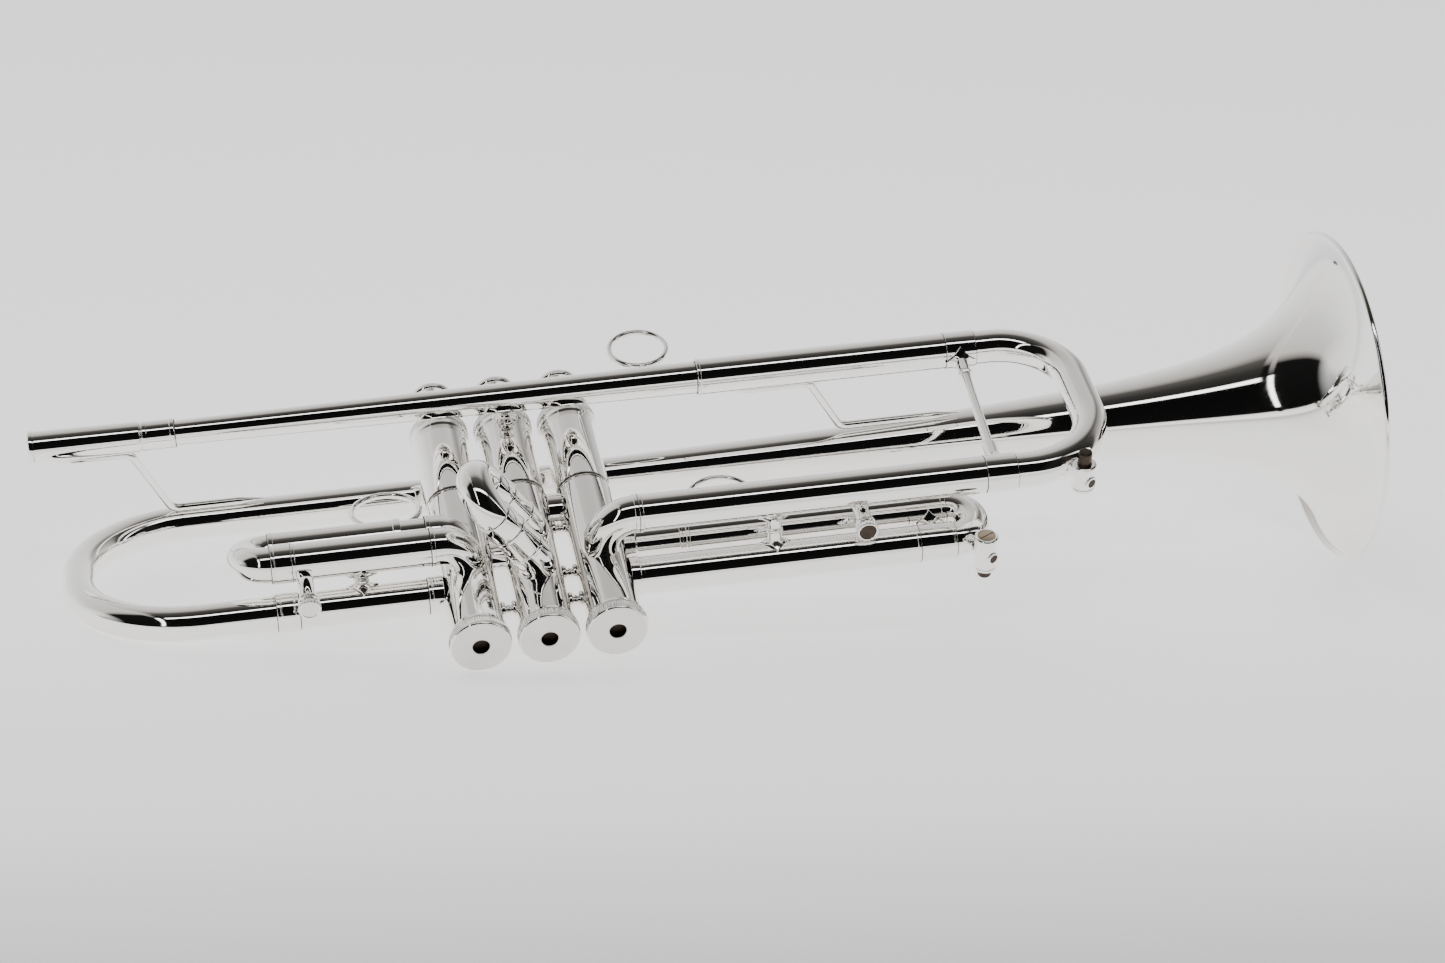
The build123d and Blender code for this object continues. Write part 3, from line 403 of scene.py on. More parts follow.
# ---------------------------------------------------------------- leadpipe
receiver = soften([(4.7, -165.5), (5.55, -165.5), (5.95, -165.2), (5.95, -163.9), (5.75, -163.5),
                   (5.4, -127.6), (5.15, -127.2), (3.9, -127.2), (3.9, -143.5), (4.7, -143.5)], 0.2)
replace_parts(make("receiver", along_x(receiver, LEAD_Y, LEAD_Z, 128), silver), "mouthpiece_receiver")


def lead_radius(x):
    """The leadpipe widens evenly from its collar to the tuning sleeve."""
    return 4.45 + (x + 115.3) / 183.3 * 1.4


lead_data = merge(
    along_x(soften([(3.9, -127.2), (4.95, -127.2), (4.95, -126.7), (5.3, -126.5), (5.3, -125.2), (5.15, -125.0),
                    (5.15, -117.0), (5.3, -116.8), (5.3, -115.7), (5.05, -115.3), (3.9, -115.3)], 0.14),
            LEAD_Y, LEAD_Z, 96),
    along_x([(3.9, -115.4), (4.45, -115.4)] + [(lead_radius(x), x) for x in range(-110, 70, 10)]
            + [(5.85, 68.0), (5.85, 77.0), (5.4, 77.0)], LEAD_Y, LEAD_Z, 96))
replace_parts(make("leadpipe_skin", lead_data, silver), "leadpipe")

scallops = lambda r, h, a: -0.6 * max(0.0, sin(6 * a)) ** 3 if r > 3.6 and 2.3 < h < 3.6 else 0.0
post = soften([(0, 0.12), (3.4, 0.12), (3.4, 0.5), (1.9, 1.2), (1.7, 1.9), (4.2, 2.4), (4.6, 2.7), (4.6, 3.1),
               (4.1, 3.5), (2.3, 4.0), (2.3, 4.6), (2.8, 6.6), (0, 6.6)], 0.25)
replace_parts(make("leadpipe_post", lathe(post, (0, -9.6, LEAD_Z), (0, -1, 0), 144, True, scallops), silver),
            "leadpipe_brace")

# ---------------------------------------------------------------- finger rings
def finger_ring(spot, tube_r, height, ring_r, wire_r, lean=0.0):
    """A ring standing on a tube, a little flattened inside, on a flared foot."""
    up = Vector((0, sin(radians(lean)), cos(radians(lean))))
    ahead = Vector((1, 0, 0))
    centre = Vector(spot) + up * height
    path = [centre + (ahead * cos(2 * pi * k / 120) + up * sin(2 * pi * k / 120)) * ring_r for k in range(120)]
    foot_top = height - ring_r - wire_r * 0.4
    foot = soften([(0, tube_r - 0.7), (2.55, tube_r - 0.7), (2.5, tube_r + 0.25), (1.5, tube_r + 0.8),
                   (1.15, (tube_r + 1.0 + foot_top) / 2), (1.3, foot_top), (0, foot_top)], 0.4, 6)
    return merge(sweep(path, wire_r * 1.02, 32, 0.86, ahead, True), lathe(foot, spot, up, 64))


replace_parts(make("pinky_hook", finger_ring((51.1, LEAD_Y, LEAD_Z), 5.7, 20.5, 10.25, 1.1), silver),
            "pinky_ring")

# ---------------------------------------------------------------- wire braces
def wire_brace(foot_x, turn_x, cross_x, end_x, tube_r, stem_r):
    """A wire with long pointed feet that crosses from the leadpipe to the bell."""
    near_y, far_y = LEAD_Y + tube_r + 1.5, BELL_Y - stem_r - 1.5
    path = route([(foot_x - 1.1, near_y, LEAD_Z + 0.4), (turn_x, near_y, LEAD_Z + 0.4),
                  (cross_x, far_y, BELL_Z - 0.4), (end_x + 1.1, far_y, BELL_Z - 0.4)], [4.0, 4.0], 4.0)
    path = divide(path, 1.2)
    total = sum((b - a).length for a, b in zip(path, path[1:]))
    return sweep(path, lambda s: 1.5 * min(1.0, 0.14 + s / 8.0, 0.14 + (total - s) / 10.0), 40)


rear_wire = wire_brace(-158.0, -131.5, -119.0, -88.0, 5.7, BOW_R)
front_wire = wire_brace(82.0, 110.0, 123.0, 166.0, SLEEVE_R, bell_radius(166.0))
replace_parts(make("rear_wire", rear_wire, silver), "rear_s_brace")
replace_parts(make("front_wire", front_wire, silver), "front_s_brace")

# ---------------------------------------------------------------- valves
for number, x in enumerate(VALVE_X, 1):
    lower = [(8.4, 1.8), (9.4, 1.8), (9.4, 73.6), (9.72, 73.9), (9.72, 74.2), (8.4, 74.2)]
    upper = [(8.4, 75.5), (9.35, 75.5), (9.6, 75.75), (9.5, 95.0), (9.6, 109.5), (9.85, 111.4), (10.25, 112.4),
             (10.25, 114.4), (8.4, 114.4)]
    casing = merge(upright(soften(lower, 0.18), x, 0, 128), upright(soften(upper, 0.3, 6), x, 0, 128))
    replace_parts(make(f"casing_{number}", casing, silver), f"valve_casing_{number}")
    # A dark band painted between the lower and upper casing: painted shade and dark reflection of the step, not a part
    # of its own.
    step_shade_band = soften([(8.5, 73.9), (9.5, 73.9), (9.56, 74.6), (9.5, 75.6), (8.5, 75.6)], 0.1)
    make(f"casing_joint_{number}", upright(step_shade_band, x, 0, 128), dark)

cap_outline = soften([(3.2, 0.35), (9.6, 0.35), (9.75, 0.02), (10.1, 0.02), (10.42, 0.5), (10.42, 0.85),
                      (10.3, 0.9), (10.5, 0.98), (10.5, 4.0), (10.28, 4.08), (10.38, 4.3), (10.2, 4.6),
                      (10.2, 5.6), (9.45, 5.6), (9.45, 1.9), (3.2, 1.9)], 0.06, 3)
cap_knurl = lambda r, h, a: -0.26 * abs(sin(44 * a)) if r > 10.44 and 0.95 < h < 4.05 else 0.0
face_outline = soften([(2.9, 0.55), (2.9, 0.2), (3.15, 0.0), (9.72, 0.0), (9.72, 0.5)], 0.1)
caps = merge(*[upright(cap_outline, x, 0, 576, cap_knurl) for x in VALVE_X])
cap_piece = make("bottom_cap_skin", caps, silver)
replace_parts(cap_piece, "bottom_caps")
make("bottom_cap_face", merge(*[upright(face_outline, x, 0, 128) for x in VALVE_X]), satin)
# Painted shade: a dark cup inside each bottom cap's centre hole stands in for the shade in the recess.
well_shade_outline = soften([(2.9, 0.2), (2.9, 3.0), (0, 3.0), (0, 3.3), (3.2, 3.3), (3.2, 0.3)], 0.05)
make("cap_well_shade", merge(*[upright(well_shade_outline, x, 0, 64) for x in VALVE_X]), dark)

top_outline = soften([(3.4, 113.5), (8.3, 113.5), (8.3, 114.5), (10.25, 114.5), (10.5, 114.9), (10.5, 117.7),
                      (9.7, 118.6), (6.0, 119.2), (5.2, 120.15), (3.4, 120.15)], 0.2)
top_knurl = lambda r, h, a: -0.24 * abs(sin(44 * a)) if r > 10.44 and 115.0 < h < 117.6 else 0.0
top_caps = merge(*[upright(top_outline, x, 0, 576, top_knurl) for x in VALVE_X])
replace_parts(make("top_cap_skin", top_caps, silver), "top_caps")

for number, x in enumerate(VALVE_X, 1):
    body = f"valve_{number}"
    button = soften([(0, 79.5), (2.4, 79.5), (2.4, 109.5), (7.3, 109.5), (7.3, 112.6), (2.4, 112.6), (2.4, 135.9),
                     (3.0, 136.5), (7.4, 136.62), (8.0, 137.3), (8.0, 138.8), (7.6, 139.35), (6.75, 139.35),
                     (6.45, 138.9), (6.45, 138.5), (0, 138.5)], 0.28)
    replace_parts(make(f"button_{number}", upright(button, x, 0, 96), silver, body), f"valve_button_{number}")
    inlay = [(0, 138.5), (6.4, 138.5), (6.4, 139.0), (6.1, 139.12), (4.5, 138.98), (2.2, 138.86), (0, 138.82)]
    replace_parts(make(f"pearl_{number}", upright(inlay, x, 0, 96), pearl, body), f"button_pearl_{number}")
    recolour(f"valve_piston_{number}", steel)
    recolour(f"valve_spring_{number}", wire)


def stud(left, z):
    """A turned stud between two casings."""
    half = 11.48
    outline = [(0, 9.2), (2.9, 9.2), (2.9, half - 1.4), (2.6, half - 1.1), (1.5, half - 0.8), (1.7, half - 0.4),
               (2.1, half), (1.7, half + 0.4), (1.5, half + 0.8), (2.6, half + 1.1), (2.9, half + 1.4),
               (2.9, 2 * half - 9.2), (0, 2 * half - 9.2)]
    return lathe(soften(outline, 0.25), (VALVE_X[left], 0, z), (1, 0, 0), 64)


def crossover(left, z):
    outline = [(5.5, 9.0), (6.4, 9.0), (6.4, 13.96), (5.5, 13.96)]
    return lathe(soften(outline, 0.1), (VALVE_X[left], 0, z), (1, 0, 0), 96)


links_data = merge(crossover(0, 44.4), crossover(1, 67.0), stud(0, 17.5), stud(0, 54.2), stud(1, 18.5),
                   stud(1, 33.0), stud(1, 57.2))
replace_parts(make("casing_links", links_data, silver), "crossover_tubes")


# ---------------------------------------------------------------- flanges and posts
def flange(x, y, z, tube_r, toward, half_x, half_round, post_r, rise):
    """A four-cornered flange wrapped round a tube along X, rising to a post."""
    facing = atan2(toward[1], toward[0])
    rings, around, thick = 14, 96, 0.75
    points, faces = [], []
    for ring in range(rings + 3):
        if ring == 0:
            lift, scale = -0.25, 1.0
        elif ring == 1:
            lift, scale = thick * 0.75, 0.99
        else:
            scale = 1.0 - 0.94 * (ring - 1) / (rings + 1)
            lift = thick
        for k in range(around):
            a = 2 * pi * k / around
            c, s = cos(a), sin(a)
            edge = 1.0 / ((abs(c) / half_x) ** 0.86 + (abs(s) / half_round) ** 0.86) ** (1 / 0.86)
            reach = edge * scale
            near = post_r * 1.02
            if reach < near * 2.2 and ring > 1:
                lift_here = thick + rise * max(0.0, 1 - (reach - near * 0.9) / (near * 1.3)) ** 2
            else:
                lift_here = lift
            across_angle = facing + reach * s / tube_r
            r = tube_r + lift_here
            points.append(Vector((x + reach * c, y + r * cos(across_angle), z + r * sin(across_angle))))
    for i in range(rings + 2):
        for k in range(around):
            m = (k + 1) % around
            faces.append((i * around + k, i * around + m, (i + 1) * around + m, (i + 1) * around + k))
    faces.append(tuple((rings + 2) * around + k for k in range(around)))
    return points, faces


def brace_between(x, low, high, low_r, high_r, post_r):
    """A post between two tubes with a flange on each and a bead in the middle."""
    run = Vector((0, high[0] - low[0], high[1] - low[1]))
    away = run.normalized()
    total = run.length
    middle = (low_r + total - high_r) / 2
    outline = [(0, low_r), (post_r * 1.25, low_r), (post_r, low_r + 1.1), (post_r, middle - 0.7),
               (post_r + 0.55, middle - 0.35), (post_r + 0.55, middle + 0.35), (post_r, middle + 0.7),
               (post_r, total - high_r - 1.1), (post_r * 1.25, total - high_r), (0, total - high_r)]
    start = Vector((x, *low))
    return merge(lathe(soften(outline, 0.3), start, away, 64),
                 flange(x, *low, low_r, (away.y, away.z), 5.4, 5.0, post_r, 0.9),
                 flange(x, *high, high_r, (-away.y, -away.z), 5.4, 5.0, post_r, 0.9))


# ---------------------------------------------------------------- tuning slide
upper_sleeve = soften([(5.95, 68.7), (6.7, 68.7), (6.7, 69.6), (6.42, 69.8), (6.42, 158.8), (5.95, 158.8)], 0.14)
lower_sleeve = soften([(5.95, 35.6), (6.7, 35.6), (6.7, 36.7), (6.42, 36.9), (6.42, 155.8), (5.95, 155.8)], 0.14)
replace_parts(make("upper_tuning_sleeve", along_x(upper_sleeve, LEAD_Y, LEAD_Z, 128), silver), "upper_slide_tube")
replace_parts(make("lower_tuning_sleeve", along_x(lower_sleeve, LEAD_Y, TUNING_Z, 128), silver), "lower_slide_tube")
elbow_path = route([(35.3, LEAD_Y, TUNING_Z), (VALVE_X[2], LEAD_Y, TUNING_Z), (VALVE_X[2], -8.6, TUNING_Z)],
                   [11.9], 2.0)
elbow_data = merge(
    sweep(elbow_path, 6.35, 96),
    along_x(soften(ferrule(34.0, 35.5, 6.62, 5.6), 0.2), LEAD_Y, TUNING_Z))
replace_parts(make("third_valve_elbow", elbow_data, silver), "third_valve_knuckle")


def leg(start, end, y, z, collar_start, collar_end, collar_r):
    """A slide's inner leg with the collar that meets the end of its sleeve."""
    collar = [(5.6, collar_start), (collar_r, collar_start), (collar_r, collar_end), (5.6, collar_end)]
    return merge(along_x(soften([(5.4, start), (5.9, start), (5.9, end), (5.4, end)], 0.1), y, z),
                 along_x(soften(collar, 0.16), y, z, 128))


legs_data = merge(leg(121.0, 178.0, LEAD_Y, LEAD_Z, 158.98, 169.8, 6.55),
                  leg(118.0, 170.0, LEAD_Y, TUNING_Z, 155.98, 166.8, 6.55))
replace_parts(make("tuning_legs", legs_data, silver, "tuning_slide"), "tuning_slide_legs")
tuning_path = route([(170.0, LEAD_Y, LEAD_Z), (200.3, LEAD_Y, LEAD_Z), (200.3, LEAD_Y, TUNING_Z),
                     (167.0, LEAD_Y, TUNING_Z)], [25.0, 29.0], 2.0)
nib = lathe(soften([(0, 0), (1.1, 0), (1.2, 1.6), (0.7, 2.2), (0, 2.3)], 0.3),
            (194.0, LEAD_Y, 93.4), (-0.72, 0, -0.69), 48)
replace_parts(make("tuning_bow_skin", merge(sweep(tuning_path, 6.05, 96), nib), silver, "tuning_slide"),
            "tuning_bow")

top, foot = Vector((163.8, LEAD_Y, LEAD_Z - 6.3)), Vector((161.2, LEAD_Y, TUNING_Z + 6.3))
length = (foot - top).length
strut = soften([(0, 0), (2.6, 0.2), (2.3, 1.2), (2.35, 8.2), (2.75, 8.8), (2.75, 9.3), (1.75, 9.7), (1.6, 20.0),
                (1.75, length - 10.2), (2.45, length - 9.4), (2.45, length - 2.6), (3.1, length - 1.0),
                (3.6, length), (0, length)], 0.3)
strut_data = merge(lathe(strut, top, foot - top, 64),
                   flange(163.8, LEAD_Y, LEAD_Z, 6.55, (0, -1), 5.6, 5.2, 2.3, 1.2),
                   flange(161.2, LEAD_Y, TUNING_Z, 6.55, (0, 1), 4.4, 4.0, 2.4, 1.0))
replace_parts(make("tuning_strut", strut_data, silver, "tuning_slide"), "tuning_slide_brace")


# ---------------------------------------------------------------- water keys
def water_key(name, x, z, face, back, press, stand, tube, slide_body, key_body, nodes):
    """A piston water key: its barrel, drain hole, neck, button and end disc."""
    length = abs(back - face)
    start, way = Vector((x, face, z)), Vector((0, press, 0))
    barrel = soften([(2.46, 0), (3.6, 0), (4.15, 0.35), (4.15, 1.2), (3.95, 1.45), (3.95, length - 1.6),
                     (4.15, length - 1.35), (4.15, length - 0.4), (3.7, length), (3.1, length),
                     (3.1, length - 0.5), (0, length - 0.5), (0, length - 1.0), (2.46, length - 1.0)], 0.18)
    tube = Vector(tube)
    neck_start = Vector((x, tube.y, z))
    run = (tube - neck_start).length
    neck = soften([(0, 1.0), (2.5, 1.0), (2.5, 5.2), (3.1, 5.7), (2.6, 6.4), (2.7, run), (0, run)], 0.3)
    hole_at = start + way * 6.2
    toward = Vector((0.44, 0, -0.9)).normalized()
    rim = soften([(1.6, 3.0), (2.35, 3.0), (2.35, 4.3), (2.1, 4.42), (1.6, 4.42)], 0.15)
    shell = merge(lathe(barrel, start, way, 128), lathe(neck, neck_start, tube - neck_start, 64),
                  lathe(rim, hole_at, toward, 64))
    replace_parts(make(name + "_barrel", shell, silver, slide_body), nodes[0])
    # Painted shade: a dark disc inside the drain hole's rim stands in for the shade in the opening.
    drain_shade_outline = soften([(0, 3.35), (1.62, 3.35), (1.62, 4.28), (0, 4.2)], 0.05)
    make(name + "_drain_shade", lathe(drain_shade_outline, hole_at, toward, 48), dark, slide_body)
    plunger = soften([(0, -stand), (2.0, -stand), (2.38, -stand + 0.4), (2.38, 1.2), (1.0, 1.2), (1.0, 5.4),
                      (2.38, 5.4), (2.38, 7.7), (0, 7.7)], 0.25)
    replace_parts(make(name + "_button", lathe(plunger, start, way, 96), dark, key_body), nodes[1])
    disc = soften([(0, length - 0.5), (3.05, length - 0.5), (3.05, length - 0.12), (0, length - 0.12)], 0.1)
    plate = make(name + "_disc", lathe(disc, start, way, 96), bronze, slide_body)
    slot_turn = radians(28)
    slot_points = [start + way * (length + depth) + Vector((cos(slot_turn) * u - sin(slot_turn) * w, 0,
                                                            sin(slot_turn) * u + cos(slot_turn) * w))
                   for depth in (-0.35, 0.4) for w in (-0.3, 0.3) for u in (-4.0, 4.0)]
    cut(plate, (slot_points, [(0, 1, 3, 2), (4, 6, 7, 5), (0, 4, 5, 1), (2, 3, 7, 6), (0, 2, 6, 4), (1, 5, 7, 3)]))
    recolour(nodes[2], wire)


water_key("tuning_key", 189.8, 29.3, -25.6, -14.9, 1, 5.0, (185.7, LEAD_Y, 38.7), "tuning_slide", "tuning_key",
          ("tuning_water_key", "tuning_key_plunger", "tuning_key_spring"))
water_key("third_key", 153.4, 18.0, 5.8, -8.0, -1, 3.4, (148.5, 0.0, 29.0), "third_slide", "third_key",
          ("third_water_key", "third_key_plunger", "third_key_spring"))

# ---------------------------------------------------------------- first slide
FIRST_LOW, FIRST_HIGH = (-16.0, 35.6), (-9.0, 51.1)
knuckles = []
for y, z in (FIRST_LOW, FIRST_HIGH):
    path = route([(-34.6, y, z), (VALVE_X[0], y, z), (VALVE_X[0], y + 8.7, z)], [8.6], 2.0)
    knuckles.append(sweep(path, 6.35, 96))
    knuckles.append(along_x(soften(ferrule(-34.98, -33.5, 6.62, 5.6), 0.2), y, z))
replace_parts(make("first_knuckles", merge(*knuckles), silver), "first_slide_knuckles")
fixed = merge(along_x(soften([(5.95, -81.5), (6.6, -81.5), (6.6, -80.6), (6.42, -80.4), (6.42, -35.1),
                              (5.95, -35.1)], 0.14), *FIRST_LOW, 128),
              along_x(soften([(5.4, -78.0), (5.9, -78.0), (5.9, -35.1), (5.4, -35.1)], 0.1), *FIRST_HIGH))
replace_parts(make("first_fixed_tubes", fixed, silver), "first_slide_tubes")
first_crook = sweep(half_turn((-88.4, *FIRST_LOW), (-88.4, *FIRST_HIGH), (-1, 0, 0), 64), 6.05, 96)
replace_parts(make("first_crook", first_crook, silver, "first_slide"), "first_slide_crook")
first_leg = merge(along_x(soften([(5.4, -88.4), (5.9, -88.4), (5.9, -50.0), (5.4, -50.0)], 0.1), *FIRST_LOW),
                  along_x(soften(ferrule(-88.4, -81.65, 6.65, 5.6, (-87.4,)), 0.16), *FIRST_LOW, 128))
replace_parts(make("first_leg", first_leg, silver, "first_slide"), "first_slide_leg")
first_sleeve = along_x(soften([(5.95, -88.4), (6.62, -88.4), (6.62, -86.9), (6.42, -86.7), (6.42, -46.1),
                               (6.7, -46.0), (6.7, -43.5), (5.95, -43.5)], 0.16), *FIRST_HIGH, 128)
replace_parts(make("first_sleeve", first_sleeve, silver, "first_slide"), "first_slide_sleeve")
thumb_hook = finger_ring((-46.8, *FIRST_HIGH), 6.4, 19.7, 11.75, 1.15, 10.0)
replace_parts(make("thumb_hook", thumb_hook, silver, "first_slide"), "thumb_ring")

# ---------------------------------------------------------------- second slide
SECOND_LOW_Z, SECOND_HIGH_Z, SWING = 27.0, 44.6, radians(34.2)
outward = Vector((-sin(SWING), -cos(SWING), 0))


def swing(distance, z):
    return Vector((0, -12.4, z)) + outward * distance


tubes, legs = [], []
for z in (SECOND_LOW_Z, SECOND_HIGH_Z):
    tubes.append(sweep(route([(0, -8.6, z), (0, -12.4, z), swing(6.0, z)], [8.0], 2.0), 6.35, 96))
    sleeve = [(5.95, 6.0), (6.7, 6.0), (6.7, 7.2), (6.42, 7.4), (6.42, 15.9), (6.7, 16.0), (6.7, 17.2), (5.95, 17.2)]
    tubes.append(lathe(soften(sleeve, 0.16), (0, -12.4, z), outward, 128))
    inner = [(5.4, 6.4), (5.9, 6.4), (5.9, 17.35), (6.5, 17.4), (6.5, 25.0), (5.4, 25.0)]
    legs.append(lathe(soften(inner, 0.16), (0, -12.4, z), outward, 128))
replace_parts(make("second_tubes", merge(*tubes), silver), "second_slide_tubes")
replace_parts(make("second_legs", merge(*legs), silver, "second_slide"), "second_slide_legs")
second_crook = sweep(half_turn(swing(25.0, SECOND_LOW_Z), swing(25.0, SECOND_HIGH_Z), outward, 64), 6.05, 96)
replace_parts(make("second_crook", second_crook, silver, "second_slide"), "second_slide_crook")

# ---------------------------------------------------------------- third slide
THIRD_LOW, THIRD_HIGH = (0.0, 27.3), (0.0, 44.4)
third_fixed = merge(
    along_x(soften([(5.5, 31.5), (6.8, 31.5), (6.8, 34.6), (6.4, 34.8), (6.4, 36.0), (6.42, 36.0), (6.42, 130.7),
                    (6.6, 130.8), (6.6, 131.8), (5.95, 131.8), (5.95, 36.5), (5.5, 36.5)], 0.12), *THIRD_LOW, 128),
    along_x(soften([(5.5, 31.5), (6.8, 31.5), (6.8, 35.4), (6.2, 35.8), (5.9, 36.0), (5.9, 104.0), (5.4, 104.0),
                    (5.4, 35.0)], 0.12), *THIRD_HIGH, 128))
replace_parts(make("third_fixed_tubes", third_fixed, silver), "third_slide_tubes")
third_leg = merge(along_x(soften([(5.4, 62.0), (5.9, 62.0), (5.9, 144.5), (5.4, 144.5)], 0.1), *THIRD_LOW),
                  along_x(soften(ferrule(131.95, 144.5, 6.5, 5.6, (143.6,)), 0.16), *THIRD_LOW, 128))
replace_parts(make("third_leg", third_leg, silver, "third_slide"), "third_slide_leg")
third_sleeve = along_x(soften([(5.95, 51.0), (6.7, 51.0), (6.7, 51.9), (6.45, 52.1), (6.45, 53.2), (6.7, 53.4),
                               (6.7, 54.3), (6.42, 54.5), (6.42, 142.8), (6.6, 143.0), (6.6, 144.5),
                               (5.6, 144.5)], 0.14), *THIRD_HIGH, 128)
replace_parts(make("third_sleeve", third_sleeve, silver, "third_slide"), "third_slide_sleeve")
third_crook = sweep(half_turn((144.5, *THIRD_LOW), (144.5, *THIRD_HIGH), (1, 0, 0), 64), 6.05, 96)
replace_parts(make("third_crook", third_crook, silver, "third_slide"), "third_slide_crook")
finger_hook = finger_ring((69.7, *THIRD_HIGH), 6.4, 19.65, 11.7, 1.15)
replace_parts(make("finger_hook", finger_hook, silver, "third_slide"), "third_finger_ring")
third_brace = brace_between(138.2, THIRD_LOW, THIRD_HIGH, 6.5, 6.42, 1.9)
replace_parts(make("third_brace", third_brace, silver, "third_slide"), "third_slide_brace")


# ---------------------------------------------------------------- lyre screws
def screw_block(x, y, block_low, block_high, arms):
    """A drilled post with a collar, and an arm to each tube it is soldered to."""
    block = soften([(1.56, block_low), (3.3, block_low), (3.6, block_low + 0.3), (3.6, block_low + 1.1),
                    (2.9, block_low + 1.5), (2.7, block_high - 0.6), (2.2, block_high), (0, block_high),
                    (0, block_low + 9), (1.56, block_low + 9)], 0.25)
    parts = [lathe(block, (x, y, 0), (0, 0, 1), 96)]
    for tube_y, tube_z, tube_r, arm_z in arms:
        start, end = Vector((x, y, arm_z)), Vector((x, tube_y, tube_z))
        run = (end - start).length
        reach = max(0.6, run - tube_r)
        arm = soften([(0, 0), (2.3, 0), (2.2, reach * 0.5), (2.7, reach + 0.3), (0, reach + 0.3)], 0.3)
        parts.append(lathe(arm, start, end - start, 64))
    return merge(*parts)


def thumbscrew(name, spot, node, body, face):
    """A scalloped screw head on a plain shank, with a flat disc let into the head."""
    edge = lambda r, h, a: -0.3 * (0.5 + 0.5 * cos(20 * a)) ** 3 if r > 3.6 and h < 2.5 else 0.0
    outline = soften([(0, 0.28), (2.9, 0.28), (3.1, 0), (3.5, 0), (3.85, 0.4), (3.85, 1.9), (3.5, 2.3), (1.9, 2.6),
                      (1.9, 3.3), (2.5, 3.5), (2.5, 3.9), (1.48, 3.95), (1.48, 11.0), (0, 11.0)], 0.2)
    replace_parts(make(name, lathe(outline, spot, (0, 0, 1), 240, True, edge), silver, body), node)
    disc = soften([(0, 0.12), (2.75, 0.12), (2.95, 0.2), (2.95, 0.4), (0, 0.4)], 0.06)
    make(name + "_face", lathe(disc, spot, (0, 0, 1), 96), face, body)


first_mounts = merge(brace_between(-58.8, (0, TAIL_Z), FIRST_LOW, BOW_R, 6.42, 2.2),
                     screw_block(-77.5, -12.0, 18.6, 31.6, [(*FIRST_LOW, 6.42, 29.6), (0, TAIL_Z, BOW_R, 27.5)]))
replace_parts(make("first_mounts", first_mounts, silver), "first_slide_mounts")
third_mounts = merge(brace_between(82.0, THIRD_LOW, (LEAD_Y, TUNING_Z), 6.42, 6.42, 2.5),
                     screw_block(112.9, -11.6, 26.4, 37.0,
                                 [(LEAD_Y, TUNING_Z, 6.42, 33.4), (*THIRD_LOW, 6.42, 29.4)]))
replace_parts(make("third_mounts", third_mounts, silver), "third_slide_mounts")
thumbscrew("first_lyre_screw", (-77.5, -12.0, 14.6), "first_thumbscrew", "first_screw", satin)
thumbscrew("third_lyre_screw", (112.9, -11.6, 22.4), "third_thumbscrew", "third_screw", dark)

# ---------------------------------------------------------------- seams
def seams(name, body, places, material=dark, width=0.16):
    """Fine lines where one tube meets the next, from (x, y, z, radius)."""
    rings = [along_x([(r - 0.3, x - width), (r + 0.02, x - width), (r + 0.02, x + width), (r - 0.3, x + width)],
                     y, z) for x, y, z, r in places]
    return make(name, merge(*rings), material, body)


seams("fixed_seams", "instrument", [
    (-7.2, BELL_Y, BELL_Z, 6.38), (7.2, BELL_Y, BELL_Z, 6.45), (68.4, LEAD_Y, LEAD_Z, 5.9),
    (35.55, LEAD_Y, TUNING_Z, 6.62), (-127.1, LEAD_Y, LEAD_Z, 4.9), (-115.2, LEAD_Y, LEAD_Z, 4.95),
    (-88.1, 0, TAIL_Z, 6.2), (-80.4, 0, TAIL_Z, 6.15), (-37.2, 0, TAIL_Z, 6.15), (-35.04, *FIRST_LOW, 6.6),
    (-35.04, *FIRST_HIGH, 6.5), (31.6, *THIRD_LOW, 6.7), (31.6, *THIRD_HIGH, 6.7)])
seams("tuning_seams", "tuning_slide", [
    (158.9, LEAD_Y, LEAD_Z, 6.45), (169.9, LEAD_Y, LEAD_Z, 6.2),
    (155.9, LEAD_Y, TUNING_Z, 6.45), (166.9, LEAD_Y, TUNING_Z, 6.2)])
seams("first_seams", "first_slide", [(-88.5, *FIRST_LOW, 6.3), (-81.6, *FIRST_LOW, 6.55), (-88.5, *FIRST_HIGH, 6.3)])
seams("third_seams", "third_slide", [(131.9, *THIRD_LOW, 6.5), (144.6, *THIRD_LOW, 6.2), (144.6, *THIRD_HIGH, 6.2)])
seams("third_ring_tint", "third_slide", [(52.0, *THIRD_HIGH, 6.48), (54.4, *THIRD_HIGH, 6.48)], brass, 0.22)

# ---------------------------------------------------------------- floor, light, camera
floor_material, nodes, links, shader, place = new_material("floor")
spread = nodes.new("ShaderNodeSeparateXYZ")
links.new(place.outputs["Object"], spread.inputs["Vector"])
depth = nodes.new("ShaderNodeMapRange")
depth.inputs["From Min"].default_value, depth.inputs["From Max"].default_value = -0.55, 1.5
links.new(spread.outputs["Y"], depth.inputs["Value"])
# The floor's colour is painted light and shade: a bright strip out of view in front of the trumpet lights the metal's
# reflections, a darker band near the camera paints the light falling off, and the floor is white under the trumpet.
floor_painted_light = ramp(nodes, links, depth.outputs["Result"], [
    (0.0, (1.0, 0.99, 0.97)), (0.035, (0.9, 0.89, 0.88)), (0.085, (0.47, 0.475, 0.47)), (0.12, (0.52, 0.525, 0.525)),
    (0.17, (0.78, 0.78, 0.785)), (0.24, (0.90, 0.90, 0.90)), (0.40, (0.90, 0.895, 0.91)), (1.0, (0.82, 0.815, 0.835))])
links.new(floor_painted_light, shader.inputs["Base Color"])
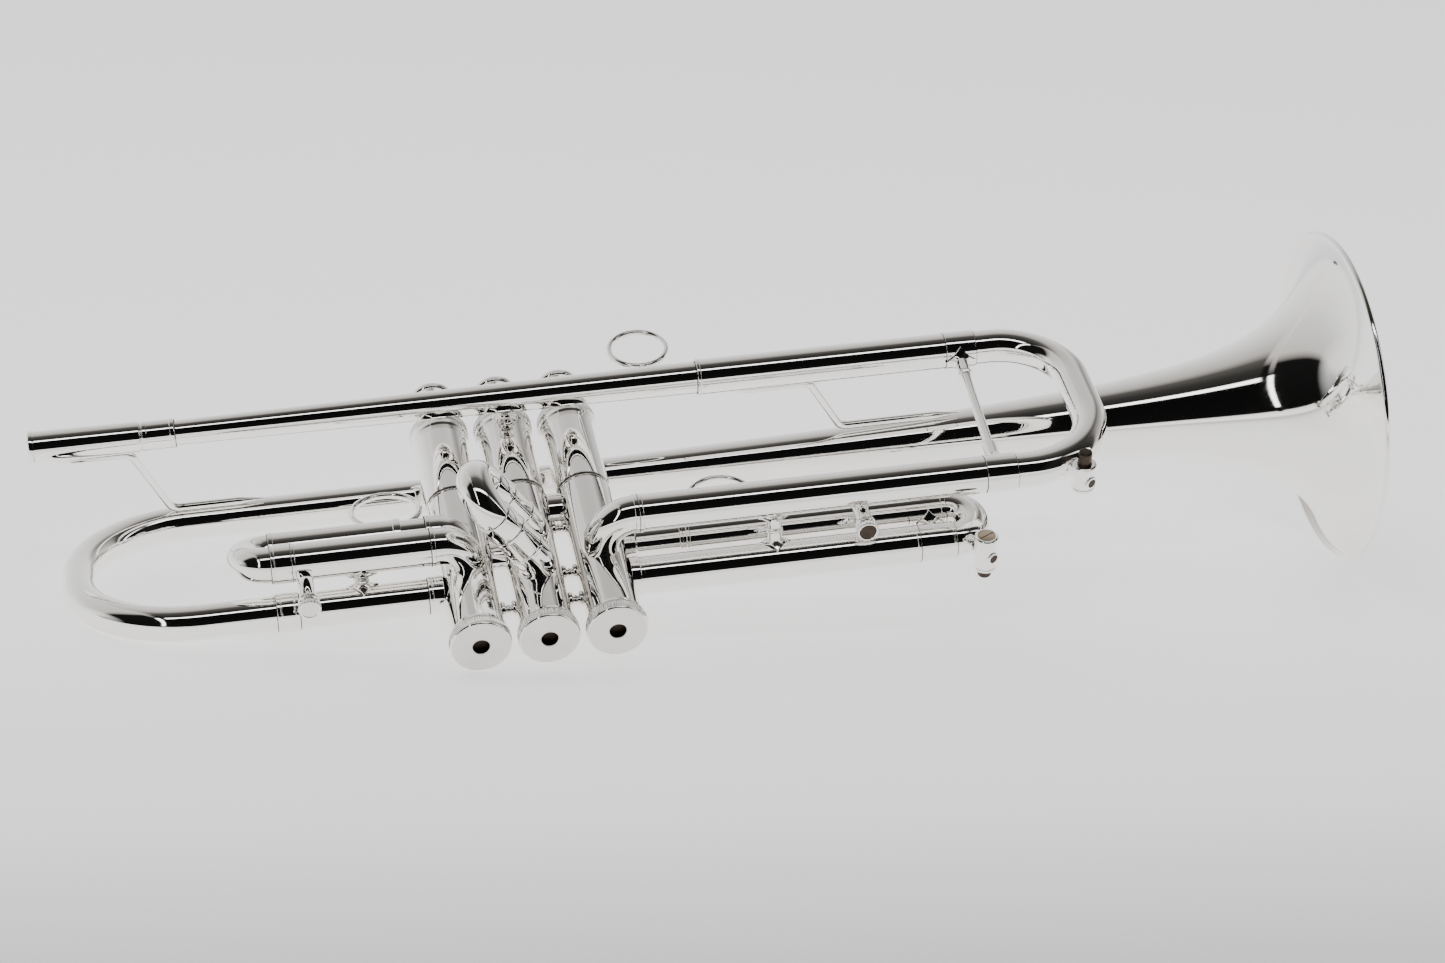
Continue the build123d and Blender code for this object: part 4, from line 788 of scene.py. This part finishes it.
# The floor glows with the same painted light, which washes out the trumpet's shadows.
links.new(floor_painted_light, shader.inputs["Emission Color"])
shader.inputs["Emission Strength"].default_value = 0.95
shader.inputs["Roughness"].default_value = 0.9
mesh = bpy.data.meshes.new("floor")
mesh.from_pydata([(-6, -6, 0), (6, -6, 0), (6, 8, 0), (-6, 8, 0)], [], [(0, 1, 2, 3)])
mesh.materials.append(floor_material)
floor = bpy.data.objects.new("floor", mesh)
bpy.context.scene.collection.objects.link(floor)

world = bpy.data.worlds.new("studio")
bpy.context.scene.world = world
world.use_nodes = True
nodes, links = world.node_tree.nodes, world.node_tree.links
nodes.clear()
out = nodes.new("ShaderNodeOutputWorld")
background = nodes.new("ShaderNodeBackground")
links.new(background.outputs["Background"], out.inputs["Surface"])
where = nodes.new("ShaderNodeTexCoord")
split = nodes.new("ShaderNodeSeparateXYZ")
links.new(where.outputs["Generated"], split.inputs["Vector"])


def math_node(kind, a, b=None):
    """One step of arithmetic on sockets or plain numbers."""
    node = nodes.new("ShaderNodeMath")
    node.operation = kind
    for socket, value in zip(node.inputs, (a, b)):
        if value is None:
            continue
        if isinstance(value, (int, float)):
            socket.default_value = value
        else:
            links.new(value, socket)
    return node.outputs[0]


toward_camera = math_node("MULTIPLY", split.outputs["Y"], -1.0)
tilt = math_node("ARCTAN2", split.outputs["Z"], toward_camera)
share = math_node("DIVIDE", tilt, pi)


def stop(degrees, value, tint=(1, 1, 1)):
    """A ramp stop at an angle up from the camera's side of the horizon."""
    return (max(0.0, degrees / 180), tuple(value * t for t in tint))


WARM = (1.0, 0.96, 0.91)
aside = math_node("MULTIPLY_ADD", split.outputs["X"], 0.5)
aside.node.inputs[2].default_value = 0.5


def mixed(first, second, factor):
    node = nodes.new("ShaderNodeMix")
    node.data_type = "RGBA"
    links.new(factor, node.inputs[0])
    links.new(first, node.inputs[6])
    links.new(second, node.inputs[7])
    return node.outputs[2]


def band(low, high, source, soft=0.006):
    """White between two places of a source and black outside them."""
    return ramp(nodes, links, source, [(max(0.0, low - soft), grey(0.0)), (low, grey(1.0)), (high, grey(1.0)),
                                       (min(1.0, high + soft), grey(0.0))])


room = ramp(nodes, links, share, [
    stop(0, 1.4), stop(1.5, 0.006), stop(57.5, 0.004), stop(58.5, 4.0), stop(64, 4.0), stop(66, 0.022, WARM),
    stop(82, 0.045, WARM), stop(98, 0.11, WARM), stop(112, 0.62, WARM), stop(140, 1.0), stop(180, 1.5)])
rear = ramp(nodes, links, share, [
    stop(0, 1.4), stop(1.5, 0.006), stop(84, 0.010), stop(100, 0.8, WARM), stop(140, 1.0), stop(180, 1.5)])
strip = ramp(nodes, links, share, [
    stop(7, 0.006), stop(9, 4.0), stop(64, 4.0), stop(66, 0.012), stop(100, 0.8, WARM), stop(180, 1.5)])
pale = ramp(nodes, links, share, [stop(0, 1.4), stop(1.5, 0.3), stop(60, 0.7), stop(90, 1.2), stop(180, 1.5)])
ahead = ramp(nodes, links, share, [
    stop(0, 0.9), stop(1.5, 0.012), stop(70, 0.02, WARM), stop(105, 0.06, WARM), stop(135, 0.24, WARM), stop(180, 0.9)])
sky = mixed(room, rear, band(0.02, 0.265, aside, 0.012))
sky = mixed(sky, strip, band(0.226, 0.243, aside, 0.004))
sky = mixed(sky, pale, band(0.0, 0.015, aside, 0.03))
sky = mixed(sky, ahead, band(0.76, 1.0, aside, 0.09))
links.new(sky, background.inputs["Color"])
background.inputs["Strength"].default_value = 1.0


def area(name, place_at, aim, size, power):
    """A round soft lamp that does not show in reflections."""
    data = bpy.data.lights.new(name, "AREA")
    data.shape, data.size, data.energy = "DISK", size, power
    lamp = bpy.data.objects.new(name, data)
    bpy.context.scene.collection.objects.link(lamp)
    lamp.location = place_at
    lamp.rotation_euler = (Vector(aim) - Vector(place_at)).to_track_quat("-Z", "Y").to_euler()
    lamp.visible_glossy = False


area("overhead", (0.0, 0.1, 1.9), (0, 0, 0), 2.6, 20)

camera_data = bpy.data.cameras.new("camera")
camera_data.lens, camera_data.sensor_width = 86.19, 36.0
camera = bpy.data.objects.new("camera", camera_data)
bpy.context.scene.collection.objects.link(camera)
right = Vector((0.9825, -0.1769, 0.0579)).normalized()
view = Vector((0.1861, 0.9290, -0.3198)).normalized()
up = right.cross(view).normalized()
right = view.cross(up).normalized()
camera.matrix_world = Matrix((
    (right.x, up.x, -view.x, -0.22948), (right.y, up.y, -view.y, -1.14698),
    (right.z, up.z, -view.z, 0.43283), (0, 0, 0, 1)))
bpy.context.scene.camera = camera
